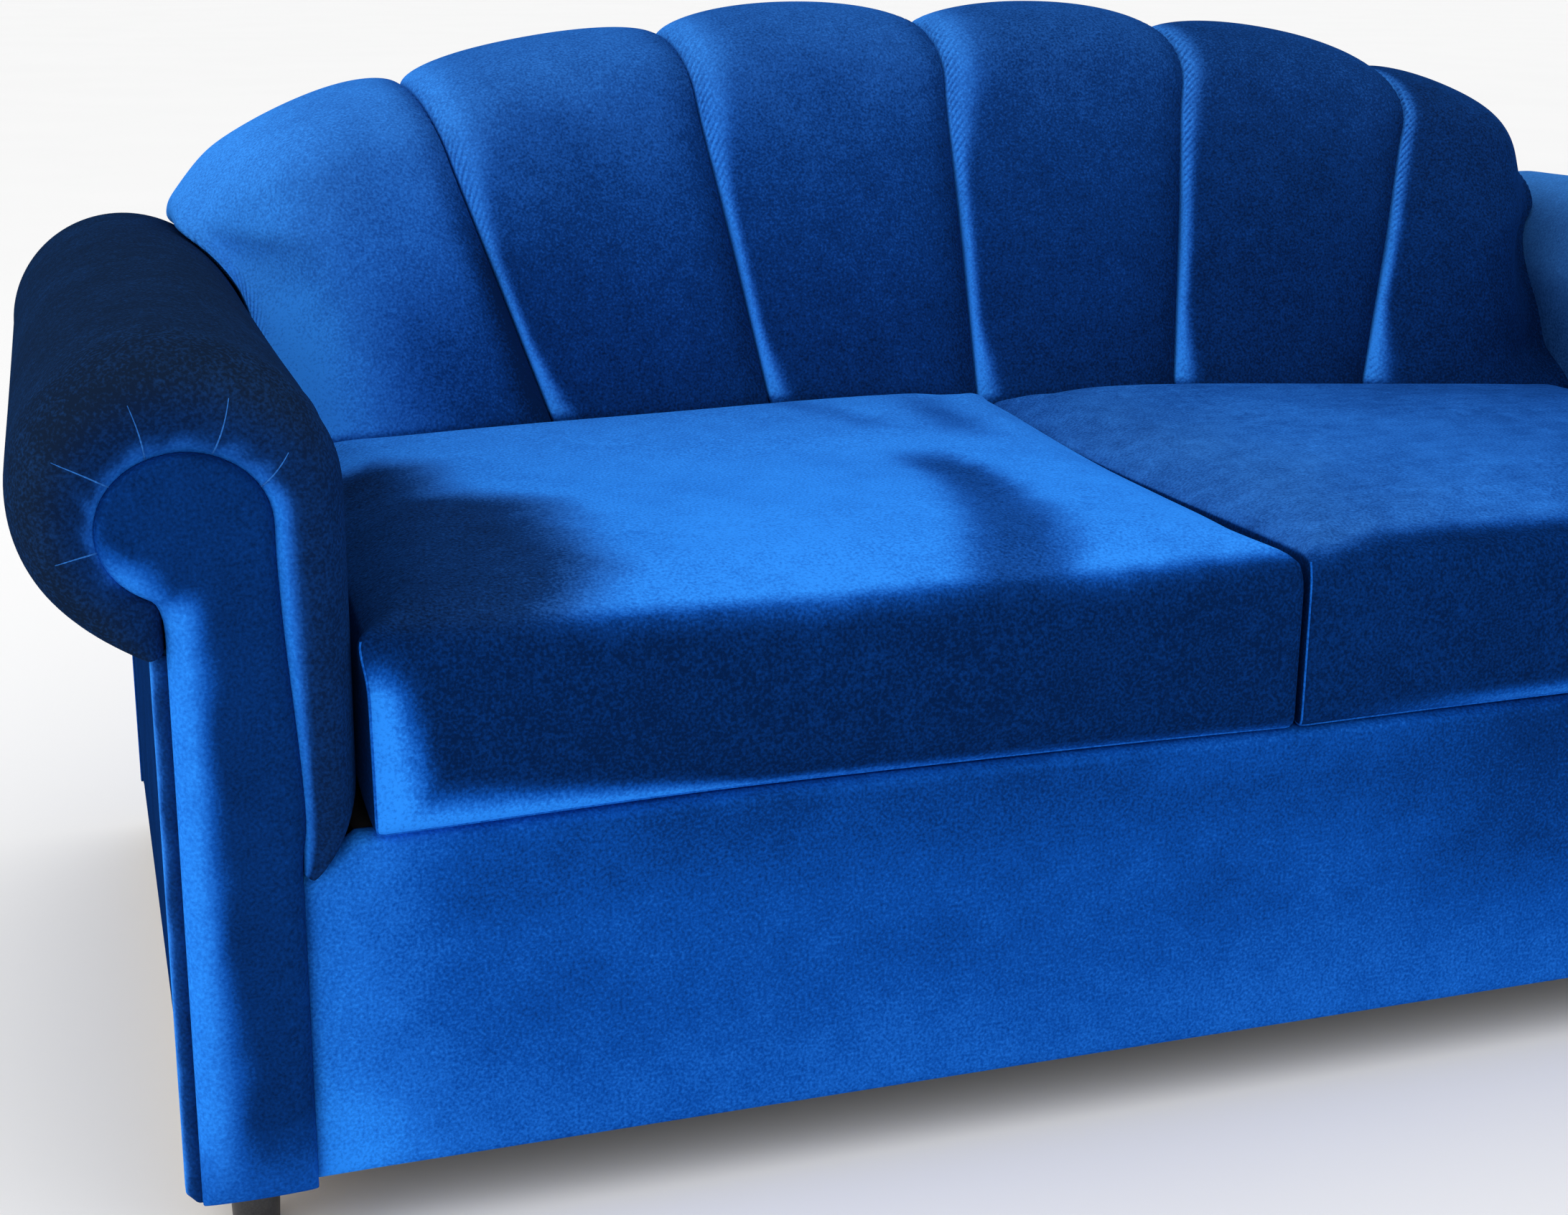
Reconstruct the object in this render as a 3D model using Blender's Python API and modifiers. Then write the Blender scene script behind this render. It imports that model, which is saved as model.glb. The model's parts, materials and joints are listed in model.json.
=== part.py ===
"""Shell back sofa: two loose seat cushions, a fanned back of six stuffed channels and rolled scroll arms.

Metres, +Z up, the front towards -Y. The pieces are drawn with y = 0 on the front rail's face, and the root
empty moves them so that the origin lies on the floor under the middle of the sofa.
"""

import math

import bmesh
import bpy
from mathutils import Matrix, Vector

# Clearances
FIT = 0.0004                  # between pieces that touch
BACK_ARM_GAP = 0.0060         # between the outer channels and the arm rolls
CUSHION_SIDE_GAP = 0.008      # between a seat cushion and the arm
CUSHION_REAR_GAP = 0.003      # between a seat cushion and the back
CUSHION_SPLIT = 0.0016        # between the two seat cushions
ARCH_GAP = 0.0025             # between arched edges, whose short straight runs differ

# Base
FOOT_REVEAL = 0.050           # floor to the lower edge of the covers
HEM = 0.007                   # how far the covers hang below the timber
RAIL_HEIGHT = 0.256           # covered front rail, lower edge to top
RAIL_PAD = 0.018              # cover and padding on the front rail
BOARD = 0.022                 # rails and arm boards
SIDE_RAIL_HEIGHT = 0.060
SPRING_RAIL = 0.038           # thickness of the rail under the back
STRETCHER_WIDTH = 0.035
STRETCHER_HEIGHT = 0.070
BLOCK_LEG = 0.070             # corner block, along each rail
BLOCK_HEIGHT = 0.045
DUST_CLOTH = 0.001
DECK = 0.0145                 # padded platform under the cushions

# Seat
SEAT_HALF_WIDTH = 0.725       # middle of the sofa to an arm's inner face
SEAT_DEPTH = 0.620            # front rail to the middle groove at the top of the cushion
CUSHION_HEIGHT = 0.136        # at its edges
CUSHION_CROWN = 0.014
CUSHION_ROUND = 0.026
CUSHION_DRAW = 0.006          # how far the sides draw in between the corners
CUSHION_FRONT = 0.004         # how far the cushions stand ahead of the front rail

# Springs
SPRING_COUNT = 8
SPRING_WIRE = 0.004
SPRING_SWING = 0.024          # half the width of the zigzag
SPRING_SHOULDER = 0.8         # share of the swing a quarter bend before and after its middle
SPRING_BENDS = 9
STRIP = 0.0015
STRIP_WIDTH = 0.020

# Back
BACK_RAKE = 0.36              # set back for each metre of height
BACK_RISE = 0.354             # middle groove's top above the seat cushion's edge
SHOULDER_REACH = 0.030        # how far the back's shoulders reach out over the arms
SHOULDER_DROP = 0.145         # shoulders below the middle groove's top
ARCH_POWER = 2.9
BACK_SAG = 0.036              # how far the back comes forward at the arms
BACK_PAD = 0.080              # board to the grooves
BACK_BOARD = 0.012
CHANNEL_FOOT = 0.2165         # width of an inner channel at the seat
CHANNEL_HEAD = 0.2725         # width of an inner channel at the top
CHANNEL_BULGE = 0.028
CHANNEL_BULGE_LOW = 0.012     # behind the seat cushions
BULGE_REACH = 0.15            # height over which the bulge grows
SCALLOP = 0.024               # channel's top above its grooves' tops
PILLOW_POWER = 2.3
CREST_ROUND = 0.060           # height of the rolled top
CREST_REAR = 0.0535           # highest line of the back, ahead of the rear face
CREST_INSET = 0.035           # timber below the grooves' tops
CREST_RAIL = 0.038
CREST_HEIGHT = 0.070
CREST_END = 0.012             # between the crest rail's ends and the arms
POST = 0.045
REAR_LIP = 0.100              # how far the channels reach down behind
REAR_COVER = 0.010

# Arms
ARM_HEIGHT = 0.653            # at the front
ARM_FALL = 0.0235             # how far the roll falls towards the rear
ARM_TOE = 0.033               # how far the arm turns in towards the rear
ROLL_RADIUS = 0.105
ROLL_END = math.radians(-73)  # where the roll tucks under, below its outermost point
ARM_PAD = 0.039               # padding on the arm's inner face
ARM_TOP_PAD = 0.074           # padding over the scroll
ARM_PANEL_WIDTH = 0.078       # straight part of the scroll panel
SCROLL_WIDTH = 0.117
SCROLL_HEIGHT = 0.096
ARM_FACING = 0.018
FACING_ROUND = 0.006
ARM_NOSE = 0.020              # how far the pad stands ahead of the front rail
NOSE_DEPTH = 0.050
SEAM_DEPTH = 0.014            # seam round the scroll panel, behind the nose
NOSE_STEP = 2                 # step of the nose, of those from the seam out to the roll's surface
TUCK_RADIUS = 0.0475          # lower roll of the inner pad
TUCK_RISE = 0.024             # its centre above the front rail
TUCK_TURN = math.radians(70)
ARM_TOP_RAIL = 0.045
OUTSIDE_GAP = 0.0015          # between the outside cover's top and the roll
OUTSIDE_COVER = 0.009
OUTSIDE_ROLL = 0.009          # rolled front edge of the outside cover
OUTSIDE_ROLL_LENGTH = 0.036

# Feet
FOOT_RADIUS = 0.0165
FOOT_TOP_RADIUS = 0.019
FOOT_SETBACK = 0.050
FOOT_COUNTERBORE_DEPTH = 0.012
FOOT_EDGE = 0.003
SCREW_RADIUS = 0.003
SCREW_HEAD_RADIUS = 0.006
SCREW_HEAD_CLEAR = 0.0015     # round the screw's head
SCREW_HEAD = 0.004
SCREW_GRIP = 0.030            # length in the side rail

# Mesh counts
CUSHION_CUTS = (12, 10, 4)
CHANNEL_ACROSS = 8
CHANNEL_FRONT_STEPS = 12
CHANNEL_CREST_STEPS = 6
SETTLE_TURNS = 20             # rounds in which a height settles on the arch
ROLL_STEPS = 14
FACE_STEPS = 3
TUCK_STEPS = 4
ARM_CUTS_THICK = 5
ROLLED_EDGE_STEPS = 8
ARCH_STEPS = 24
TURN_STEPS = 20

# Heights that follow
timber_base = FOOT_REVEAL + HEM
seat_top = FOOT_REVEAL + RAIL_HEIGHT
deck_under = seat_top - DECK
spring_height = deck_under - FIT - SPRING_WIRE / 2
strip_under = spring_height - SPRING_WIRE / 2 - FIT - STRIP
rail_top = strip_under - FIT
cushion_under = seat_top + FIT
cushion_top = cushion_under + CUSHION_HEIGHT
groove_top = cushion_top + BACK_RISE
crest_top = groove_top - CREST_INSET

# Arm section that follows, for the arm on the +X side
panel_inner = SEAT_HALF_WIDTH + ARM_PAD
panel_outer = panel_inner + ARM_PANEL_WIDTH
roll_x = SEAT_HALF_WIDTH + ROLL_RADIUS
roll_z = ARM_HEIGHT - ROLL_RADIUS
scroll_x = panel_inner + SCROLL_WIDTH / 2
scroll_z = ARM_HEIGHT - ARM_TOP_PAD - SCROLL_HEIGHT / 2
neck_angle = -math.acos((panel_outer - scroll_x) / (SCROLL_WIDTH / 2))
tuck_x = SEAT_HALF_WIDTH + TUCK_RADIUS
tuck_z = seat_top + TUCK_RISE
nose_level = math.sin(math.pi / 2 * NOSE_STEP / ARM_CUTS_THICK)

# Back that follows
shoulder_x = SEAT_HALF_WIDTH + SHOULDER_REACH
rake_angle = math.atan(BACK_RAKE)


def board_y(z):
    """Front face of the board behind the channels."""
    return SEAT_DEPTH + BACK_PAD + BACK_RAKE * (z - cushion_top)


board_base = rail_top + FIT + BACK_BOARD * math.sin(rake_angle)
crest_front = board_y(crest_top) + BACK_BOARD / math.cos(rake_angle) + FIT
frame_rear = crest_front + CREST_RAIL
rear_face = frame_rear + FIT + REAR_COVER
crest_line = rear_face - CREST_REAR
arm_turn_start = NOSE_DEPTH
arm_turn_end = frame_rear - BOARD
arm_stations = (arm_turn_start, arm_turn_end, frame_rear)
spring_rail_front = board_y(board_base) - STRIP_WIDTH - 2 * FIT
middle_y = (rear_face - ARM_NOSE) / 2


def groove_y(x, z):
    """Surface of the back along its grooves."""
    return SEAT_DEPTH + BACK_RAKE * (z - cushion_top) - BACK_SAG * (x / SEAT_HALF_WIDTH) ** 2


def arch_z(x):
    """Top of the back along its grooves."""
    return groove_top - SHOULDER_DROP * (abs(x) / shoulder_x) ** ARCH_POWER


def blend(a, b, share):
    return a + (b - a) * share


def arm_share(y):
    """Runs from 0 where the arm starts to turn in, behind its front, to 1 at its rear board."""
    return min(max((y - arm_turn_start) / (arm_turn_end - arm_turn_start), 0), 1)


def lean_in(x, y):
    """Carries a point of the arm's front section in to where it lies at a depth."""
    return x - ARM_TOE * arm_share(y)


def lean_down(z, y):
    return z - ARM_FALL * arm_share(y)


def edge_x(z):
    """Outer edge of the back, which follows the arm roll and then the shoulder."""
    y = board_y(z)
    reach = ROLL_RADIUS + BACK_ARM_GAP
    lift = min(max(z - lean_down(roll_z, y), 0), reach)
    return min(shoulder_x, lean_in(roll_x, y) - math.sqrt(reach ** 2 - lift ** 2))


def groove_x(index, z):
    """Groove lines fan out from the middle one, index 0, to the outer edges, index -3 and 3."""
    if abs(index) == 3:
        return math.copysign(edge_x(z), index)
    spread = (z - cushion_top) / BACK_RISE
    return index * blend(CHANNEL_FOOT, CHANNEL_HEAD, spread)


def bulge(z):
    """How far a channel's middle stands ahead of its grooves."""
    share = min(max((z - cushion_top) / BULGE_REACH, 0), 1)
    return blend(CHANNEL_BULGE_LOW, CHANNEL_BULGE, share)


def spread_out(share):
    """Runs from -1 to 1 with its steps close together at both ends."""
    return math.sin(math.pi / 2 * (2 * share - 1))


def arc(centre, radii, start, end, steps):
    """Points on an ellipse, both ends included."""
    turns = [blend(start, end, step / steps) for step in range(steps + 1)]
    return [(centre[0] + radii[0] * math.cos(a), centre[1] + radii[1] * math.sin(a)) for a in turns]


# Scene, collections and materials

for old in list(bpy.data.objects):
    bpy.data.objects.remove(old, do_unlink=True)

parts = bpy.data.collections.new("shell_back_sofa")
cutters = bpy.data.collections.new("cutters")
bpy.context.scene.collection.children.link(parts)
bpy.context.scene.collection.children.link(cutters)

root = bpy.data.objects.new("sofa_origin", None)
root.location = (0, -middle_y, 0)
parts.objects.link(root)


def material(name, colour, roughness, metallic=0.0):
    made = bpy.data.materials.new(name)
    made.use_nodes = True
    shader = made.node_tree.nodes["Principled BSDF"]
    shader.inputs["Base Color"].default_value = (*colour, 1)
    shader.inputs["Roughness"].default_value = roughness
    shader.inputs["Metallic"].default_value = metallic
    return made


velvet = material("blue_velvet", (0.010, 0.060, 0.300), 0.85)
timber = material("pine", (0.55, 0.38, 0.21), 0.7)
plywood = material("plywood", (0.62, 0.46, 0.28), 0.7)
spring_steel = material("spring_steel", (0.30, 0.30, 0.31), 0.4, 1.0)
screw_steel = material("screw_steel", (0.60, 0.60, 0.58), 0.35, 1.0)
platform_cloth = material("platform_cloth", (0.02, 0.02, 0.03), 0.9)
black_cloth = material("black_cloth", (0.015, 0.015, 0.015), 0.95)
black_plastic = material("black_plastic", (0.02, 0.02, 0.02), 0.45)


# Makers

def add(name, data, finish, location=(0, 0, 0), rotation=(0, 0, 0)):
    data.materials.append(finish)
    made = bpy.data.objects.new(name, data)
    made.location = location
    made.rotation_euler = rotation
    made.parent = root
    parts.objects.link(made)
    return made


def box(name, low, high, finish):
    """Plain board from its lowest corner to its highest."""
    low = Vector(low)
    high = Vector(high)
    mesh = bpy.data.meshes.new(name)
    cage = bmesh.new()
    bmesh.ops.create_cube(cage, size=1, matrix=Matrix.Diagonal((*(high - low), 1)))
    cage.to_mesh(mesh)
    cage.free()
    return add(name, mesh, finish, (low + high) / 2)


def block(name, cuts, shape, finish, location=(0, 0, 0), soft=True):
    """Cube cut along each axis, whose points the shape function then moves."""
    mesh = bpy.data.meshes.new(name)
    cage = bmesh.new()
    bmesh.ops.create_cube(cage, size=1, matrix=Matrix.Translation((0.5, 0.5, 0.5)))
    for axis, count in enumerate(cuts):
        along = [e for e in cage.edges if abs(e.verts[0].co[axis] - e.verts[1].co[axis]) > 0.5]
        if count > 1:
            bmesh.ops.subdivide_edges(cage, edges=along, cuts=count - 1, use_grid_fill=True)
    for vert in cage.verts:
        vert.co = Vector(shape(*vert.co)) - Vector(location)
    if cage.calc_volume(signed=True) < 0:
        bmesh.ops.reverse_faces(cage, faces=cage.faces)
    cage.to_mesh(mesh)
    cage.free()
    if soft:
        mesh.shade_smooth()
    return add(name, mesh, finish, location)


def flat_curve(name, points, thickness, edge=0.0):
    """Closed flat outline with rounded edges, extruded to a thickness."""
    curve = bpy.data.curves.new(name, "CURVE")
    curve.dimensions = "2D"
    curve.fill_mode = "BOTH"
    curve.extrude = thickness / 2 - edge
    curve.bevel_depth = edge
    curve.bevel_resolution = 1
    curve.offset = -edge
    spline = curve.splines.new("POLY")
    spline.points.add(len(points) - 1)
    for point, (across, along) in zip(spline.points, points):
        point.co = (across, along, 0, 1)
    spline.use_cyclic_u = True
    return curve


def upright(name, points, front, thickness, finish, edge=0.0):
    """Outline of x and z points standing across the sofa, its front face at a depth."""
    curve = flat_curve(name, points, thickness, edge)
    return add(name, curve, finish, (0, front + thickness / 2, 0), (math.pi / 2, 0, 0))


def lying(name, points, base, thickness, finish):
    """Outline of x and y points, standing on a height."""
    return add(name, flat_curve(name, points, thickness), finish, (0, 0, base + thickness / 2))


def plan(half, depths):
    """Plan outline across the sofa, as wide at each depth as the arms leave it."""
    right = [(lean_in(half, y), y) for y in depths]
    return right + [(-x, y) for x, y in reversed(right)]


def turned(name, profile, finish, location):
    """Closed profile of radius and height, top first, turned about the upright axis."""
    mesh = bpy.data.meshes.new(name)
    count = len(profile)
    ring = [(step, (step + 1) % count) for step in range(count)]
    if profile[0][0] == 0 and profile[-1][0] == 0:
        ring.pop()
    mesh.from_pydata([(radius, 0, height) for radius, height in profile], ring, [])
    made = add(name, mesh, finish, location)
    screw = made.modifiers.new("turn", "SCREW")
    screw.steps = TURN_STEPS
    screw.render_steps = TURN_STEPS
    screw.use_merge_vertices = True
    screw.merge_threshold = 0.00001
    return made


def drill(target, centre, radius, low, high):
    """Round upright hole through a board."""
    name = target.name + "_hole_" + str(len(target.modifiers))
    mesh = bpy.data.meshes.new(name)
    cage = bmesh.new()
    size = {"radius1": radius, "radius2": radius, "depth": high - low}
    bmesh.ops.create_cone(cage, cap_ends=True, segments=TURN_STEPS, **size)
    cage.to_mesh(mesh)
    cage.free()
    cutter = bpy.data.objects.new(name, mesh)
    cutter.location = (centre[0], centre[1], (low + high) / 2)
    cutter.parent = root
    cutter.hide_render = True
    cutter.display_type = "WIRE"
    cutters.objects.link(cutter)
    cut = target.modifiers.new("hole", "BOOLEAN")
    cut.operation = "DIFFERENCE"
    cut.object = cutter
    return cutter


sides = {"left": -1, "right": 1}


# Seat frame

rail_half = panel_inner - FIT
front_rail_y = RAIL_PAD + FIT
front_rail_rear = front_rail_y + BOARD
spring_rail_rear = spring_rail_front + SPRING_RAIL
base_rail_front = frame_rear - BOARD
side_rail_front = BOARD + FIT
side_rail_rear = frame_rear - BOARD - FIT
side_rail_top = timber_base + SIDE_RAIL_HEIGHT


def cross_rail(name, front, rear, top):
    """Rail from arm to arm."""
    half = lean_in(rail_half, rear)
    box(name, (-half, front, timber_base), (half, rear, top), timber)


cross_rail("front_rail", front_rail_y, front_rail_rear, rail_top)
cross_rail("spring_rail", spring_rail_front, spring_rail_rear, rail_top)
cross_rail("rear_base_rail", base_rail_front, frame_rear, side_rail_top)
box(
    "centre_stretcher",
    (-STRETCHER_WIDTH / 2, front_rail_rear + FIT, timber_base),
    (STRETCHER_WIDTH / 2, spring_rail_front - FIT, timber_base + STRETCHER_HEIGHT),
    timber,
)


def along_arm(sign, low, high):
    """Straight rail inside an arm, between the low and high corners of its section at the front."""
    stations = (side_rail_front, arm_turn_start, side_rail_rear)

    def shape(u, v, w):
        y = stations[round(v * 2)]
        return sign * lean_in(blend(low[0], high[0], u), y), y, blend(low[1], high[1], w)

    return shape


side_rails = {}
for side, sign in sides.items():
    side_rail = along_arm(sign, (panel_inner, timber_base), (panel_outer - FIT, side_rail_top))
    side_rails[side] = block("side_rail_" + side, (1, 2, 1), side_rail, timber, soft=False)

block_number = 0
for face, turn in ((front_rail_rear + FIT, 1), (base_rail_front - FIT, -1)):
    for sign in sides.values():
        block_number += 1
        reach = face + turn * BLOCK_LEG
        corner = sign * (lean_in(rail_half, max(face, reach)) - FIT)
        triangle = [(corner, face), (corner - sign * BLOCK_LEG, face), (corner, reach)]
        lying("corner_block_%d" % block_number, triangle, timber_base + FIT, BLOCK_HEIGHT, timber)

dust_outline = plan(rail_half, (front_rail_y, *arm_stations))
lying("dust_cover", dust_outline, timber_base - FIT - DUST_CLOTH, DUST_CLOTH, black_cloth)


# Springs and platform

strip_half = lean_in(SEAT_HALF_WIDTH, spring_rail_rear) - BOARD
front_strip_y = front_rail_y + FIT
rear_strip_y = spring_rail_front + FIT
for place, start in (("front", front_strip_y), ("rear", rear_strip_y)):
    box(
        "spring_strip_" + place,
        (-strip_half, start, strip_under),
        (strip_half, start + STRIP_WIDTH, strip_under + STRIP),
        spring_steel,
    )

spring_start = front_strip_y + STRIP_WIDTH / 2
spring_end = rear_strip_y + STRIP_WIDTH / 2
spring_pitch = 2 * strip_half / SPRING_COUNT


def spring(number):
    """One wire that swings from side to side, flat, from the front strip to the rear one."""
    middle = spring_pitch * (number - (SPRING_COUNT + 1) / 2)
    route = [(0, 0)]
    for bend in range(SPRING_BENDS):
        swing = SPRING_SWING if bend % 2 else -SPRING_SWING
        shoulder = swing * SPRING_SHOULDER
        route += [(shoulder, bend + 1 / 4), (swing, bend + 1 / 2), (shoulder, bend + 3 / 4)]
    route.append((0, SPRING_BENDS))
    name = "seat_spring_%d" % number
    curve = bpy.data.curves.new(name, "CURVE")
    curve.dimensions = "3D"
    curve.bevel_depth = SPRING_WIRE / 2
    curve.bevel_resolution = 1
    curve.use_fill_caps = True
    spline = curve.splines.new("POLY")
    spline.points.add(len(route) - 1)
    for point, (swing, run) in zip(spline.points, route):
        along = blend(spring_start, spring_end, run / SPRING_BENDS)
        point.co = (middle + swing, along, spring_height, 1)
    add(name, curve, spring_steel)


for spring_number in range(1, SPRING_COUNT + 1):
    spring(spring_number)

deck_rear = board_y(deck_under) - FIT
deck_outline = plan(SEAT_HALF_WIDTH - FIT, (front_rail_y, arm_turn_start, deck_rear))
lying("seat_deck", deck_outline, deck_under, DECK, platform_cloth)


# Seat cushions

cushion_half = (SEAT_HALF_WIDTH - CUSHION_SIDE_GAP - CUSHION_SPLIT / 2) / 2
cushion_middle = CUSHION_SPLIT / 2 + cushion_half


def cushion_rear(x, z):
    return groove_y(x, z) - CHANNEL_BULGE_LOW - CUSHION_REAR_GAP


def cushion_shape(sign):
    """Crowned box cushion: rounded edges, drawn-in sides, and a rear that leans with the back."""
    half = Vector((cushion_half, SEAT_DEPTH / 2, CUSHION_HEIGHT / 2))
    core = half - Vector((CUSHION_ROUND,) * 3)

    def shape(u, v, w):
        s = spread_out(u)
        r = spread_out(v)
        corner = Vector((s * half.x, r * half.y, spread_out(w) * half.z))
        inner = Vector([min(max(c, -limit), limit) for c, limit in zip(corner, core)])
        point = inner + (corner - inner).normalized() * CUSHION_ROUND
        rise = point.z / CUSHION_HEIGHT + 0.5
        z = cushion_under + rise * CUSHION_HEIGHT
        crown = CUSHION_CROWN * rise * (1 - s ** 4) * (1 - r ** 4)
        x = point.x - s * abs(s) * CUSHION_DRAW * (1 - r * r)
        x = sign * (cushion_middle + x)
        front = CUSHION_DRAW * (1 - s * s) - CUSHION_FRONT
        y = blend(front, cushion_rear(x, min(z, cushion_top)), point.y / SEAT_DEPTH + 0.5)
        return x * lean_in(SEAT_HALF_WIDTH, y) / SEAT_HALF_WIDTH, y, z + crown

    return shape


for side, sign in sides.items():
    seat_point = (sign * cushion_middle, SEAT_DEPTH / 2, cushion_under)
    block("seat_cushion_" + side, CUSHION_CUTS, cushion_shape(sign), velvet, seat_point)


# Back channels

channel_steps = CHANNEL_FRONT_STEPS + CHANNEL_CREST_STEPS + 1


def groove_head(index):
    """Height at which a groove reaches the arched top."""
    z = groove_top
    for turn in range(SETTLE_TURNS):
        z = arch_z(groove_x(index, z))
    return z


def channel_shape(first, second):
    """Stuffed channel between two grooves: up the raked front, over the crest and down behind it."""
    ends = (groove_x(first, groove_head(first)), groove_x(second, groove_head(second)))

    def shape(u, v, w):
        s = spread_out(u)
        share = (s + 1) / 2
        pillow = (1 - abs(s) ** PILLOW_POWER) ** (1 / PILLOW_POWER)
        arch = arch_z(blend(*ends, share))
        top = arch + SCALLOP * pillow
        crest_start = top - CREST_ROUND
        step = round(v * channel_steps)

        def across(z):
            left = groove_x(first, z) + FIT / 2
            right = groove_x(second, z) - FIT / 2
            return blend(left, right, share)

        def front(z):
            return groove_y(across(z), z) - bulge(z) * pillow

        def below_arch(drop):
            z = arch - drop
            for turn in range(SETTLE_TURNS):
                z = arch_z(across(z)) - drop
            return z

        if step <= CHANNEL_FRONT_STEPS:
            rise = step / CHANNEL_FRONT_STEPS
            z = blend(cushion_under, crest_start, rise)
            y = front(z)
            inner_z = z
            inner_y = board_y(z) - FIT
        elif step < channel_steps:
            over = (step - CHANNEL_FRONT_STEPS) / CHANNEL_CREST_STEPS
            inner_over = (step - CHANNEL_FRONT_STEPS - 1) / (CHANNEL_CREST_STEPS - 1)
            z = crest_start + CREST_ROUND * math.sin(math.pi * over)
            end = front(crest_start) if over < 1 / 2 else rear_face
            y = blend(crest_line, end, abs(math.cos(math.pi * over)))
            inner_z = below_arch(CREST_INSET)
            inner_y = blend(board_y(inner_z) - FIT, frame_rear + FIT, inner_over)
        else:
            z = below_arch(REAR_LIP)
            y = rear_face
            inner_z = z
            inner_y = frame_rear + FIT
        height = blend(inner_z, z, w)
        return across(height), blend(inner_y, y, w), height

    return shape


for number in range(6):
    cuts = (CHANNEL_ACROSS, channel_steps, 1)
    block("back_channel_%d" % (number + 1), cuts, channel_shape(number - 3, number - 2), velvet)


# Back frame

def arch_points(half, drop):
    """Points along the arched top, right to left, a drop below the grooves."""
    steps = [blend(half, -half, step / ARCH_STEPS) for step in range(ARCH_STEPS + 1)]
    return [(x, arch_z(x) - drop) for x in steps]


board_half = lean_in(SEAT_HALF_WIDTH, frame_rear) - BACK_ARM_GAP
board_top = arch_points(board_half, CREST_INSET + ARCH_GAP)
board_outline = [(x, (z - board_base) / math.cos(rake_angle)) for x, z in board_top]
board_outline += [(-board_half, 0), (board_half, 0)]
board_normal = Vector((0, -math.cos(rake_angle), math.sin(rake_angle)))
add(
    "back_board",
    flat_curve("back_board", board_outline, BACK_BOARD),
    plywood,
    Vector((0, board_y(board_base), board_base)) - board_normal * BACK_BOARD / 2,
    (math.pi / 2 - rake_angle, 0, 0),
)

crest_half = lean_in(SEAT_HALF_WIDTH, frame_rear) - CREST_END
crest_outline = arch_points(crest_half, CREST_INSET + ARCH_GAP)
crest_outline += reversed(arch_points(crest_half, CREST_INSET + ARCH_GAP + CREST_HEIGHT))
upright("crest_rail", crest_outline, crest_front, CREST_RAIL, timber)

post_top = arch_z(crest_half) - CREST_INSET - ARCH_GAP - CREST_HEIGHT - FIT
for side, sign in sides.items():
    ends = sorted((sign * crest_half, sign * (crest_half - POST)))
    box(
        "back_post_" + side,
        (ends[0], frame_rear - POST, side_rail_top + FIT),
        (ends[1], frame_rear, post_top),
        timber,
    )

back_half = lean_in(rail_half, frame_rear)
back_outline = arch_points(back_half, REAR_LIP + ARCH_GAP)
back_outline += [(-back_half, FOOT_REVEAL), (back_half, FOOT_REVEAL)]
upright("outer_back_panel", back_outline, frame_rear + FIT, REAR_COVER, velvet)


# Arms

def scroll_head(y, inset):
    """Scroll's line at a depth, from the neck round to the inner side, in from its own edge by an inset."""
    centre = (lean_in(scroll_x, y), lean_down(scroll_z, y))
    radii = (SCROLL_WIDTH / 2 - inset, SCROLL_HEIGHT / 2 - inset)
    return arc(centre, radii, neck_angle, math.pi, ROLL_STEPS)


def scroll_outline(sign, y, base):
    """Straight panel with a scroll head, as the arm is at a depth."""
    outer = lean_in(panel_outer - FIT, y)
    inner = lean_in(panel_inner + FIT, y)
    points = [(outer, base)] + scroll_head(y, FIT) + [(inner, base)]
    return [(sign * x, z) for x, z in points]


def arm_section(y):
    """Outer and inner lines of the arm pad, from under the roll, over it and down the inner face."""
    centre = (lean_in(roll_x, y), lean_down(roll_z, y))
    outer = arc(centre, (ROLL_RADIUS,) * 2, ROLL_END, math.pi, ROLL_STEPS)
    heights = [blend(centre[1], tuck_z, step / FACE_STEPS) for step in range(1, FACE_STEPS)]
    face = [(lean_in(SEAT_HALF_WIDTH, y), z) for z in heights]
    face += arc((lean_in(tuck_x, y), tuck_z), (TUCK_RADIUS,) * 2, math.pi, math.pi + TUCK_TURN, TUCK_STEPS)
    inner = scroll_head(y, 0)
    inner += [(lean_in(panel_inner, y), min(z, inner[-1][1] - FIT)) for x, z in face]
    return outer + face, inner


section_steps = len(arm_section(0)[0]) - 1


def arm_shape(sign):
    """Padded roll with a rounded front that turns in to the seam round the scroll panel."""

    def shape(u, v, w):
        step = round(u * section_steps)
        level = math.sin(math.pi / 2 * w)
        if level > nose_level:
            turn = (level - nose_level) / (1 - nose_level)
            front = NOSE_DEPTH * (1 - math.sqrt(max(1 - turn * turn, 0)))
        else:
            front = SEAM_DEPTH * (1 - level / nose_level) ** 2
        y = (front - ARM_NOSE, *arm_stations)[round(v * len(arm_stations))]
        outer, inner = arm_section(y)
        x = blend(inner[step][0], outer[step][0], level)
        return sign * x, y, blend(inner[step][1], outer[step][1], level)

    return shape


def top_rail_shape(sign):
    """Square rail along the middle of the scroll."""
    half = ARM_TOP_RAIL / 2
    level = along_arm(sign, (scroll_x - half, scroll_z - half), (scroll_x + half, scroll_z + half))

    def shape(u, v, w):
        x, y, z = level(u, v, w)
        return x, y, lean_down(z, y)

    return shape


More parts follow.
